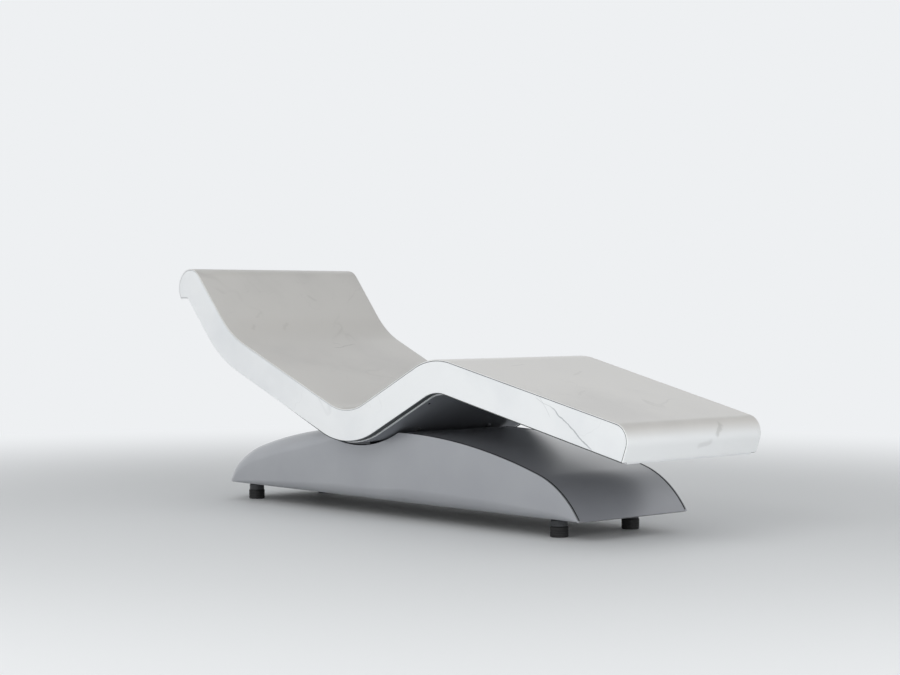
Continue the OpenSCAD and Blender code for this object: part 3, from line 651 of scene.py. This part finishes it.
@dataclass
class ShellLine:
    """Head to foot line of the shell in the side view, and every line at a depth below it.

    Four straight runs joined by arcs, rolled over at the head to a flat lip, and rounded at
    the foot with a short flat end.
    """

    head_w: float = 706.0
    foot_w: float = 570.0
    lengths: tuple[float, ...] = (267.0, 644.0, 434.0, 755.0)
    headings: tuple[float, ...] = (-48.5, -22.5, 27.0, -13.0)
    bend_r: float = 340.0
    seat_r: float = 190.0
    knee_r: float = 230.0
    roll_r: float = 66.0
    lip_drop: float = 37.0
    nose_r: float = 52.0
    nose_turn: float = 97.0
    seat_h: float = 346.0
    # Numbers of points, where an arc has one more for each degree
    run_points: int = 14
    arc_points: int = 12
    roll_points: int = 50
    lip_points: int = 8
    end_points: int = 6
    closing_points: int = 4

    def __post_init__(self) -> None:
        """Work out corners and tangent lengths, r tan(turn / 2), with both ends as far from the middle."""
        self.radii = (self.bend_r, self.seat_r, self.knee_r)
        half_turns = np.abs(np.diff(self.headings)) / 2
        self.setbacks = [0.0, *(self.radii * np.tan(np.radians(half_turns))), 0.0]
        lift = self.seat_r / math.cos(math.radians(half_turns[1]))
        seat_z = self.seat_h + self.seat_r - lift * direction(90 + sum(self.headings[1:3]) / 2)[1]
        steps = [length * direction(h) for length, h in zip(self.lengths, self.headings)]
        rear = steps[0] + steps[1] + self.roll_r * self.normal(0)
        front = steps[2] + steps[3] - self.nose_r * self.normal(3)
        seat = np.array([(rear[0] + self.roll_r - front[0] - self.nose_r) / 2, seat_z])
        bend = seat - steps[1]
        knee = seat + steps[2]
        self.corners = [bend - steps[0], bend, seat, knee, knee + steps[3]]
        self.roll_o = self.corners[0] - self.roll_r * self.normal(0)
        self.nose_o = self.corners[4] - self.nose_r * self.normal(3)
        self.lip_z = self.roll_o[1] - self.lip_drop
        self.rear_x = self.roll_o[0] - self.roll_r
        self.front_x = self.nose_o[0] + self.nose_r

    def half_w(self, x: Array) -> Array:
        """Half the width at x: it tapers evenly from head to foot."""
        share = (self.front_x - x) / (self.front_x - self.rear_x)
        return self.foot_w / 2 + (self.head_w - self.foot_w) / 2 * share

    def normal(self, i: int) -> Array:
        """Outward unit vector of a run."""
        return direction(self.headings[i] + 90)

    def middle(self, depth: float) -> list[Array]:
        """Runs and arcs at a depth, from the head roll to the nose: surface - depth times normal.

        Args:
            depth: Depth below the outer surface.

        Returns:
            Points of each run and each arc.
        """
        parts = []
        for i, heading in enumerate(self.headings):
            way, normal = direction(heading), self.normal(i)
            start = self.corners[i] + self.setbacks[i] * way
            end = self.corners[i + 1] - self.setbacks[i + 1] * way
            parts.append(line(start - depth * normal, end - depth * normal, self.run_points))
            if i < len(self.radii):
                turn = self.headings[i + 1] - heading
                side = math.copysign(90, turn)
                centre = end + self.radii[i] * direction(heading + side)
                radius = self.radii[i] + math.copysign(depth, turn)
                count = self.arc_points + int(abs(turn))
                parts.append(arc(centre, radius, heading - side, heading - side + turn, count)[1:-1])
        return parts

    def surface(self, depth: float, bottom: float) -> Array:
        """Line at a depth from the lip's inner end over the whole shell to the nose's lower end.

        Args:
            depth: Depth below the outer surface.
            bottom: Depth of the underside, where the line starts and ends.

        Returns:
            Points, as many for every depth.
        """
        under = self.corners[0] - bottom * self.normal(0)
        drop = (under[1] - self.lip_z - depth) / math.sin(math.radians(-self.headings[0]))
        inner = under + drop * direction(self.headings[0])
        r = self.roll_r - depth
        tip_angle = 180 + math.degrees(math.asin((self.lip_drop - depth) / r))
        roll = arc(self.roll_o, r, tip_angle, 90 + self.headings[0], self.roll_points)
        lip = line(inner, roll[0], self.lip_points)
        nose_from = 90 + self.headings[3]
        nose_to = nose_from - self.nose_turn
        nose = arc(self.nose_o, self.nose_r - depth, nose_from, nose_to, self.roll_points)
        end_dir = direction(nose_to - 90)
        below = np.dot(nose[-1] - self.corners[4], self.normal(3)) + bottom
        reach = below / -np.dot(end_dir, self.normal(3))
        end = line(nose[-1], nose[-1] + reach * end_dir, self.end_points)
        return np.concatenate([lip, roll[1:-1], *self.middle(depth), nose[1:], end[1:]])

    def underside(self, bottom: float, start: Array) -> Array:
        """Line at the depth of the underside, from a point under the nose back to the lip."""
        whole = np.concatenate(self.middle(bottom))[::-1][1:-1]
        return np.concatenate([line(start, whole[0], self.closing_points)[1:-1], whole])


@dataclass
class Shell:
    """Slabs, cheeks and joint seals of the tilting shell, and strips of painted shade under the cheeks."""

    outline: ShellLine = field(default_factory=ShellLine)
    depth: float = 100.0
    stone: float = 20.0
    # Depth of the slab's edge over the cheek, joint under it and eased edge
    lap: float = 3.3
    joint: float = 1.9
    edge_r: float = 2.0
    # Inset and depth of the slab's lower points: bevel, rebate over the cheek and inner face
    rebate: tuple[Pair, ...] = ((0.0, 2.7), (0.18, 3.12), (0.6, 3.3), (20.8, 3.3), (20.8, 20.0))
    flat_share: float = 0.99
    # Flat rim of a cheek's face, and the share of an inset by which its upper edge drops
    rim: float = 1.0
    drop_share: float = 0.3
    # Insets of the corners of filler and of the strip of painted shade: outer and inner one above, inner and
    # outer below
    filler_insets: tuple[float, ...] = (0.7, 18.0, 18.0, 0.7)
    seal_insets: tuple[float, ...] = (1.6, 21.0, 21.0, 2.1)
    # Dark strip of painted shade under a cheek: section, length under the nose, and the feather at its
    # start, which grows from a thin share to the full thickness
    seal_t: float = 2.6
    seal_lap: float = 0.3
    seal_end: float = 42.0
    seal_start: float = -500.0
    seal_feather: float = 240.0
    seal_thin_share: float = 0.12

    def edge(self, xz: Array, side: int, inset: float) -> Array:
        """Lengthwise line at an inset from the side of the shell."""
        return column(xz, side * (self.outline.half_w(xz[:, 0]) - inset))

    def bar(self, side: Side, insets: Sequence[float], upper: Array, lower: Array) -> Array:
        """Sections of a flat bar between two lines, each corner at its own inset from the side."""
        corners = zip(insets, (upper, upper, lower, lower))
        return np.stack([self.edge(xz, side, inset) for inset, xz in corners], axis=1)

    def top(self) -> Thing:
        """Top slab: its section carried along the surface line, its width tapering with x.

        Returns:
            The piece.
        """
        half = [*eased(self.edge_r), *self.rebate]
        lines = {d: self.outline.surface(d, self.depth) for _, d in half}
        columns = [self.edge(lines[d], side, inset) for side, inset, d in both_sides(half)]
        top = lines[0.0]
        wide = self.outline.half_w(top[:, 0]) - self.edge_r
        shares = np.linspace(-self.flat_share, self.flat_share, ACROSS_POINTS)
        columns += [column(top, share * wide) for share in shares]
        return swept_piece("marble_top_slabs", np.stack(columns, axis=1))

    def ring(self, side: Side, inset: float, across: float) -> Array:
        """Outline of a cheek.

        Args:
            side: Side of the cheek.
            inset: Inset from its edges.
            across: Distance in from its face.

        Returns:
            Points round the cheek.
        """
        depth, bottom = self.lap + self.joint + self.drop_share * inset, self.depth - inset
        upper = self.outline.surface(depth, bottom)
        xz = np.concatenate([upper, self.outline.underside(bottom, upper[-1])])
        return self.edge(xz, side, across)

    def cheek(self, side: Side) -> Thing:
        """Cheek: outline rings from the outer face round the edges to the inner face, capped."""
        steps = [(self.edge_r + self.rim, 0.0), *eased(self.edge_r), (0.0, self.stone)]
        return swept_piece(f"marble_cheek_{side.word}", np.stack([self.ring(side, *s) for s in steps]))

    def filler(self, side: Side) -> Thing:
        """Filler in the joint between slab and cheek, set back from the face."""
        lines = (self.outline.surface(self.lap + d, self.depth) for d in (0.0, self.joint))
        return swept_piece(f"joint_seal_{side.word}", self.bar(side, self.filler_insets, *lines))

    def under_seal(self, side: Side) -> Thing:
        """Dark flat strip of painted shade on a cheek's lower edge, from behind the seat to the nose.

        It follows the line at the shell's full depth, and its thickness grows from a feather:
        upper + share (lower - upper).

        Args:
            side: Side of the cheek.

        Returns:
            The piece.
        """
        reach = self.seal_end * direction(self.outline.headings[-1])
        depths = (self.depth - self.seal_lap, self.depth + self.seal_t)
        runs = [np.concatenate(self.outline.middle(depth)) for depth in depths]
        upper, lower = (np.concatenate([run, run[-1:] + reach]) for run in runs)
        behind = upper[:, :1] - self.seal_start
        share = np.clip(behind / self.seal_feather, self.seal_thin_share, 1.0)
        lower = upper + share * (lower - upper)
        kept = behind[:, 0] > 0
        loops = self.bar(side, self.seal_insets, upper[kept], lower[kept])
        return swept_piece(f"underside_seal_{side.word}", loops)

    def build(self, shop: Workshop) -> None:
        """Make, dress and fix the pieces of the shell, and dress the nodes that stay.

        Args:
            shop: Workshop that dresses them.
        """
        body = Body.SHELL.value
        shop.piece(self.top(), body, "marble", TOP_MARBLE_PAINTED_SHADE, "marble_top")
        for side in Side:
            word = side.word
            shop.piece(self.cheek(side), body, "marble", CHEEK_MARBLE, f"cheek_{word}")
            shop.piece(self.filler(side), body, "polymer", JOINT_FILLER_PAINTED_SHADE)
            shop.piece(self.under_seal(side), body, "polymer", SHADE_STRIP_RUBBER)
            shop.nodes(TRIM_ANODISED, f"edge_trim_{word}")
            shop.nodes(POWDER_COAT, f"spine_{word}")
            shop.nodes(GROUND_STEEL, f"rail_plate_{word}")
            shop.nodes(ROCKER_LACQUER, f"rocker_side_{word}")
        shop.nodes(SILICONE_MAT, "heating_mat_back", "heating_mat_seat", "heating_mat_legs")
        shop.nodes(SENSOR_STEEL, "seat_sensor")
        shop.nodes(RIGID_FOAM, "foam_core")
        shop.nodes(POWDER_COAT, "cross_tubes")
        shop.nodes(TRAY_ANODISED, "underside_tray")
        shop.nodes(TRIM_ANODISED, "foot_lip")
        shop.nodes(TURNED_STEEL, "tray_screws", "rail_bolts")
        shop.nodes(ROCKER_LACQUER, "rocker_cover")
        shop.nodes(GROUND_STEEL, "rocker_crossbar", "drive_bracket")
        shop.nodes(SLIDING_POLYMER, "keeper_shoes")


@dataclass
class Pedestal:
    """Low arched base: a soft loaf at the head end and two thin walls beside the front panel."""

    axis_x: float = -199.66
    axis_z: float = 675.0
    width: float = 465.0
    clear: float = 61.0
    height: float = 275.0
    crest: float = 216.0
    # Radius and turn of the long arc of the crown, and radius of the tight one after it
    front_arcs: Triple = (2100.0, 16.8, 300.0)
    rear_arcs: Triple = (1980.0, 16.4, 345.0)
    corner_r: float = 90.0
    saddle_r: float = 450.0
    wall: float = 6.0
    joint: float = 2.5
    sheet: float = 5.0
    # Shoulder radius, the run over which it eases out, that run's end behind the front crest,
    # and the largest share of the flank's height that it takes
    shoulder: float = 62.0
    shoulder_run: float = 560.0
    shoulder_end: float = 10.0
    shoulder_share: float = 0.96
    # Front panel: gap to the saddle, eased edge and share of the width that its flat spans
    panel_gap: float = 5.0
    panel_edge_r: float = 0.8
    panel_flat_share: float = 0.995
    panel_angles: tuple[float, ...] = (0, 30, 60, 90)
    # Bead of sealant: gap at its ends, and points from the wall's inner face and the crown line
    bead_gap: float = 1.0
    bead: tuple[Pair, ...] = (
        (1.6, -1.6), (-2.8, -1.6), (-2.8, 0.32), (-2.32, 0.8), (1.12, 0.8), (1.6, 0.32)
    )
    # Numbers of points of the crown's arcs, the saddle, the flank and its shoulder, and the deck
    long_points: int = 46
    tight_points: int = 44
    saddle_points: int = 60
    low_points: int = 6
    high_points: int = 21
    deck_points: int = 21

    def half_crown(self, arcs: Triple) -> Array:
        """Crown from its crest outwards: a long flat arc, then a tight one down to the lower edge.

        Args:
            arcs: Radius and turn of the long arc, and radius of the tight one.

        Returns:
            Distance from the crest and height of each point.
        """
        long_r, turn, tight_r = arcs
        first = arc(np.array([0, self.height - long_r]), long_r, 90, 90 - turn, self.long_points)
        centre = first[-1] - tight_r * direction(90 - turn)
        last = math.degrees(math.asin((self.clear - centre[1]) / tight_r))
        return np.concatenate([first, arc(centre, tight_r, 90 - turn, last, self.tight_points)[1:]])

    def crown(self) -> Array:
        """Crown line from the rear end over the saddle to the front tip, its x rising."""
        halves = self.half_crown(self.rear_arcs)[::-1] * [-1, 1], self.half_crown(self.front_arcs)
        return np.concatenate([halves[0], halves[1] + [self.crest, 0]]) + [self.axis_x, 0]

    def reach(self, radius: float) -> float:
        """Half the chord that the crest cuts from a circle about the tilt axis."""
        return math.sqrt(radius**2 - (self.axis_z - self.height) ** 2)

    def ahead(self, gap: float) -> Array:
        """Crown line in front of the saddle, from a gap past the tilt axis."""
        crown = self.crown()
        return crown[crown[:, 0] > self.axis_x + gap]

    def valley(self, x: Array) -> Array:
        """Height of the saddle's edge at x, on its circle about the tilt axis."""
        inside = np.clip(self.saddle_r**2 - (x - self.axis_x) ** 2, 0, None)
        return self.axis_z - np.sqrt(inside)

    def plan_half(self, x: Array) -> Array:
        """Half width in plan, w - r + sqrt(r^2 - (r - d)^2) within d < r of the rear end."""
        from_corner = self.corner_r - np.clip(x - self.crown()[0, 0], 0, self.corner_r)
        return self.width / 2 - self.corner_r + np.sqrt(self.corner_r**2 - from_corner**2)

    def shoulder_at(self, x: Array) -> Array:
        """Shoulder radius: full at the head end, easing to nothing at the front of the saddle."""
        t = np.clip((self.axis_x + self.crest - self.shoulder_end - x) / self.shoulder_run, 0, 1)
        return self.shoulder * t * t * (3 - 2 * t)

    def flank(self, x: Array, top: Array, cap: Array) -> Array:
        """Flank of one side: upright, then a quarter ellipse in at the shoulder.

        The ellipse is y = w - r (1 - cos a), z = start + rise sin a.

        Args:
            x: Stations along the base.
            top: Height of the crown there.
            cap: Height at which the flank is cut, by the saddle or the crown.

        Returns:
            Array of stations by points by (y, z).
        """
        x, top, cap = x[:, None], top[:, None], cap[:, None]
        r, half = self.shoulder_at(x), self.plan_half(x)
        rise = np.minimum(r, self.shoulder_share * (top - self.clear))
        start = top - rise
        last = np.arcsin(np.clip((cap - start) / np.maximum(rise, 1e-9), 0, 1))
        low = self.clear + (np.minimum(start, cap) - self.clear) * np.linspace(0, 1, self.low_points)
        a = last * np.linspace(0, 1, self.high_points)[1:]
        high = np.where(start > cap, cap, start + rise * np.sin(a))
        y = np.concatenate([np.broadcast_to(half, low.shape), half - r * (1 - np.cos(a))], axis=1)
        return np.stack([y, np.concatenate([low, high], axis=1)], axis=-1)

    def body(self) -> Thing:
        """Base body: the two flanks, the rear crown between them and a narrow top strip in front.

        Returns:
            The piece, an open sheet that a modifier gives its thickness.
        """
        crown = self.crown()
        gap = self.reach(self.saddle_r)
        dip = self.axis_x + gap * np.sin(np.radians(np.linspace(-90, 90, self.saddle_points)))
        # Stations closer to the saddle's edges than this are left to the saddle's own
        spare = 2.0
        behind = crown[crown[:, 0] < self.axis_x - gap - spare, 0]
        x = np.concatenate([behind, dip, self.ahead(gap + spare)[:, 0]])
        top = np.interp(x, crown[:, 0], crown[:, 1])
        cap = np.where(np.abs(x - self.axis_x) < gap, np.minimum(top, self.valley(x)), top)
        flank = self.flank(x, top, cap)
        sheet = np.concatenate([flank, flank[:, -1:] - np.array([self.wall, 0.0])], axis=1)
        grids = [(x[:, None], side * sheet[..., 0], sheet[..., 1]) for side in Side]
        back = len(behind) + 1
        shares = np.linspace(-1, 1, self.deck_points)
        grids.append((x[:back, None], sheet[:back, -1:, 0] * shares, top[:back, None]))
        points, faces = [], []
        for grid in grids:
            sheet_points = np.stack(np.broadcast_arrays(*grid), axis=-1)
            faces.append(grid_quads(*sheet_points.shape[:2], first=sum(map(len, points))))
            points.append(sheet_points.reshape(-1, 3))
        piece = mesh_piece("base_shell", np.concatenate(points), np.concatenate(faces), 40.0)
        # An open sheet has no inside, so its faces may have been turned the wrong way
        widest = max(piece.data.polygons, key=lambda face: abs(face.normal.y) * face.area)
        if widest.normal.y * widest.center.y < 0:
            piece.data.flip_normals()
        wall = piece.modifiers.new("wall", "SOLIDIFY")
        wall.thickness = self.sheet * MM
        wall.offset = -1.0
        return piece

    def panel(self) -> Thing:
        """Front top panel: a thin slab with eased edges carried along the crown line.

        Returns:
            The piece.
        """
        path = self.ahead(self.reach(self.saddle_r + self.panel_gap))
        normal = normals(path)
        half_w = self.width / 2 - self.wall - self.joint
        r = self.panel_edge_r
        half = [*eased(r, self.panel_angles), (0.0, self.wall)]
        columns = [column(path - d * normal, side * (half_w - inset)) for side, inset, d in both_sides(half)]
        shares = np.linspace(-self.panel_flat_share, self.panel_flat_share, ACROSS_POINTS)
        columns += [column(path, share * (half_w - r)) for share in shares]
        return swept_piece("front_panel_sheet", np.stack(columns, axis=1))

    def gasket(self, side: Side) -> Thing:
        """Bead of sealant over the joint beside the front panel, standing a little proud.

        Its crowned section is carried along the crown line: path + rise times normal.

        Args:
            side: Side of the joint.

        Returns:
            The piece.
        """
        path = self.ahead(self.reach(self.saddle_r) + self.bead_gap)
        path = path[path[:, 1] > self.clear + self.bead_gap]
        normal = normals(path)
        face = self.width / 2 - self.wall
        columns = [column(path + up * normal, side * (face + out)) for out, up in self.bead]
        return swept_piece(f"panel_gasket_{side.word}", np.stack(columns, axis=1))

    def build(self, shop: Workshop) -> None:
        """Make, dress and fix the pieces of the base, and dress the nodes that stay.

        Args:
            shop: Workshop that dresses them.
        """
        body = Body.BASE.value
        shop.piece(self.body(), body, "base_lacquer", SILVER_LACQUER, "base_body")
        shop.piece(self.panel(), body, "panel_lacquer", PANEL_LACQUER_PAINTED_SHADE, "front_top_panel")
        for side in Side:
            shop.piece(self.gasket(side), body, "polymer", JOINT_SEALANT)
            shop.nodes(POWDER_COAT, f"frame_rail_{side.word}", f"cradle_{side.word}")
            shop.nodes(CAST_POLYAMIDE, f"roller_rear_{side.word}", f"roller_front_{side.word}")
        shop.nodes(SADDLE_LACQUER, "saddle_plate")
        shop.nodes(COATED_SHEET, "bottom_plate")
        shop.nodes(POWDER_COAT, "frame_cross_members", "actuator_mounts")
        shop.nodes(TURNED_STEEL, "axle_rear", "axle_front", "axle_collars", "actuator_rod", "drive_pin")
        shop.nodes(MOULDED_HOUSING, "actuator_gearbox", "actuator_motor")
        shop.nodes(DRAWN_ALUMINIUM, "actuator_tube")
        shop.nodes(GROUND_STEEL, "rod_fork")
        shop.nodes(ENCLOSURE, "control_box", "power_supply", "mains_inlet")


@dataclass
class Foot:
    """One levelling foot: a ribbed rubber pad under a dark collar on a steel stem."""

    end: str
    side: Side
    pad_r: float = 27.0
    grooves: Triple = (7.0, 13.5, 20.0)
    groove_depth: float = 1.1
    # Radius and height of the rings: pad under and over its grooves, collar and stem
    pad_foot: tuple[Pair, ...] = ((POLE_R, 0), (24, 0), (25.8, 0.8), (26.6, 2.6))
    pad_top: tuple[Pair, ...] = ((27, 28), (26.5, 30), (25.2, 31.4), (23.6, 32), (POLE_R, 32))
    stem: tuple[Pair, ...] = (
        (POLE_R, 32), (23.6, 32), (24.6, 32.5), (25, 33.6), (25, 38.4), (24, 39.2), (24, 40.4),
        (25, 41.2), (25, 48.2), (24.5, 49.4), (23.4, 50), (8, 50), (8, 99), (7, 100), (POLE_R, 100),
    )

    def pad(self) -> list[Pair]:
        """Rings of the pad: chamfered rim at the floor, shallow grooves and a rounded shoulder.

        Returns:
            Radius and height of each ring.
        """
        r, inner = self.pad_r, self.pad_r - self.groove_depth
        rings = list(self.pad_foot)
        for low in self.grooves:
            rings += [(r, low - 1.6), (r, low), (inner, low + 0.7), (inner, low + 1.7), (r, low + 2.4)]
        return [*rings, *self.pad_top]

    def build(self, shop: Workshop) -> None:
        """Make, dress and fix the pad and the stem, which ride on the foot's own body.

        Args:
            shop: Workshop that dresses them.
        """
        key = f"{self.end}_{self.side.word}"
        low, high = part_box(f"foot_pad_{key}")
        centre = ((low.x + high.x) / 2 / MM, (low.y + high.y) / 2 / MM)
        pad = turned_piece(f"pad_{key}", self.pad(), centre)
        shop.piece(pad, f"foot_{key}", "foot_rubber", PAD_RUBBER, f"foot_pad_{key}")
        stem = turned_piece(f"stem_{key}", self.stem, centre)
        shop.piece(stem, f"foot_{key}", "foot_steel", FOOT_COAT, f"foot_stem_{key}")


@dataclass(frozen=True)
class Lamp:
    """Square soft lamp, in metres and watts, that hangs at a place and faces a point."""

    name: str
    place: Triple
    aim: Triple
    size: float
    watts: float

    def hang(self) -> None:
        """Make the lamp and turn it to its point."""
        data = bpy.data.lights.new(self.name, "AREA")
        data.size = self.size
        data.energy = self.watts
        lamp = placed(self.name, data)
        lamp.location = self.place
        lamp.rotation_euler = (Vector(self.aim) - Vector(self.place)).to_track_quat("-Z", "Y").to_euler()


LAMPS = (
    Lamp("key", (1.5, -4.6, 2.2), (0.1, 0.0, 0.4), 3.2, 100.0),
    Lamp("side", (-2.8, -3.9, 2.2), (-0.4, 0.0, 0.5), 2.8, 22.0),
    Lamp("foot", (4.6, -0.9, 1.1), (0.7, 0.0, 0.35), 2.2, 52.0),
    Lamp("back", (-2.9, 3.9, 2.2), (0.0, 0.0, 0.4), 3.0, 9.0),
    Lamp("far", (1.8, 4.6, 2.4), (0.0, 0.0, 0.4), 3.0, 14.0),
)


@dataclass
class Studio:
    """Pale floor and backdrop, broad soft lamps and the camera of the photograph's angle, in metres."""

    floor_tone: str = "#e0e2e3"
    floor_roughness: float = 0.7
    floor_reach: float = 40.0
    wall_tone: str = "#eef0f2"
    light_tone: str = "#f0f1f2"
    light_level: float = 0.52
    # Distances from the middle between which the floor takes the tone of the backdrop
    fade: Pair = (1.4, 4.4)
    camera_place: Triple = (4.5946, -4.1462, 0.6884)
    camera_turn: float = 48.0
    camera_tilt: float = 1.105
    lens_mm: float = 77.38

    @staticmethod
    def seen(tree: Tree) -> Any:
        """1 for rays from the camera, straight, mirrored or passed on, 0 for the rest.

        Args:
            tree: Tree of the floor or the world.

        Returns:
            Node or socket with the value.
        """
        path = add(tree, "LightPath")
        share: Any = path.outputs["Is Camera Ray"]
        for kind in ("Is Glossy Ray", "Is Transmission Ray"):
            share = add(tree, "Math", {0: share, 1: path.outputs[kind]}, operation="MAXIMUM")
        return share

    def floor(self) -> None:
        """Wide plain matt floor that takes the tone of the backdrop far out, so that no edge shows."""
        s = self.floor_reach
        mesh = bpy.data.meshes.new("floor")
        mesh.from_pydata([(-s, -s, 0), (s, -s, 0), (s, s, 0), (-s, s, 0)], [], [(0, 1, 2, 3)])
        material = new_material("studio_floor")
        tree = material.node_tree
        look = {"Base Color": linear(self.floor_tone), "Roughness": self.floor_roughness}
        matt = add(tree, "BsdfPrincipled", look)
        place = add(tree, "TexCoord").outputs["Object"]
        far = add(tree, "VectorMath", {0: place}, operation="LENGTH").outputs["Value"]
        ramp = {"Value": far, "From Min": self.fade[0], "From Max": self.fade[1]}
        fade = add(tree, "MapRange", ramp, **SMOOTH)
        share = add(tree, "Math", {0: fade, 1: self.seen(tree)}, operation="MULTIPLY")
        glow = add(tree, "Emission", {"Color": linear(self.wall_tone), "Strength": 1.0})
        add(tree, "OutputMaterial", {"Surface": add(tree, "MixShader", {0: share, 1: matt, 2: glow})})
        mesh.materials.append(material)
        placed("floor", mesh)

    def world(self) -> None:
        """Even pale surroundings, seen by the camera at their own tone."""
        world = bpy.data.worlds.new("studio")
        world.use_nodes = True
        bpy.context.scene.world = world
        tree = world.node_tree
        tree.nodes.clear()
        light = add(tree, "Background", {"Color": linear(self.light_tone), "Strength": self.light_level})
        wall = add(tree, "Background", {"Color": linear(self.wall_tone), "Strength": 1.0})
        mix = add(tree, "MixShader", {0: self.seen(tree), 1: light, 2: wall})
        add(tree, "OutputWorld", {"Surface": mix})

    def camera(self) -> None:
        """Camera at the photograph's place, level turn and slight downward tilt."""
        data = bpy.data.cameras.new("camera")
        data.lens = self.lens_mm
        camera = placed("camera", data)
        camera.location = self.camera_place
        tilt, turn = math.radians(90 - self.camera_tilt), math.radians(self.camera_turn)
        camera.rotation_euler = (tilt, 0.0, turn)
        bpy.context.scene.camera = camera

    def build(self) -> None:
        """Set the stage, the lamps and the view."""
        self.camera()
        self.floor()
        self.world()
        for lamp in LAMPS:
            lamp.hang()
        bpy.context.scene.view_settings.view_transform = "Standard"


def main() -> None:
    """Load the frame and build every sub-assembly."""
    logging.basicConfig(level=logging.INFO, format="%(message)s")
    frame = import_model()
    Studio().build()
    shop = Workshop(frame)
    Shell().build(shop)
    Pedestal().build(shop)
    for end in ("rear", "front"):
        for side in Side:
            Foot(end, side).build(shop)


if __name__ == "__main__":
    main()
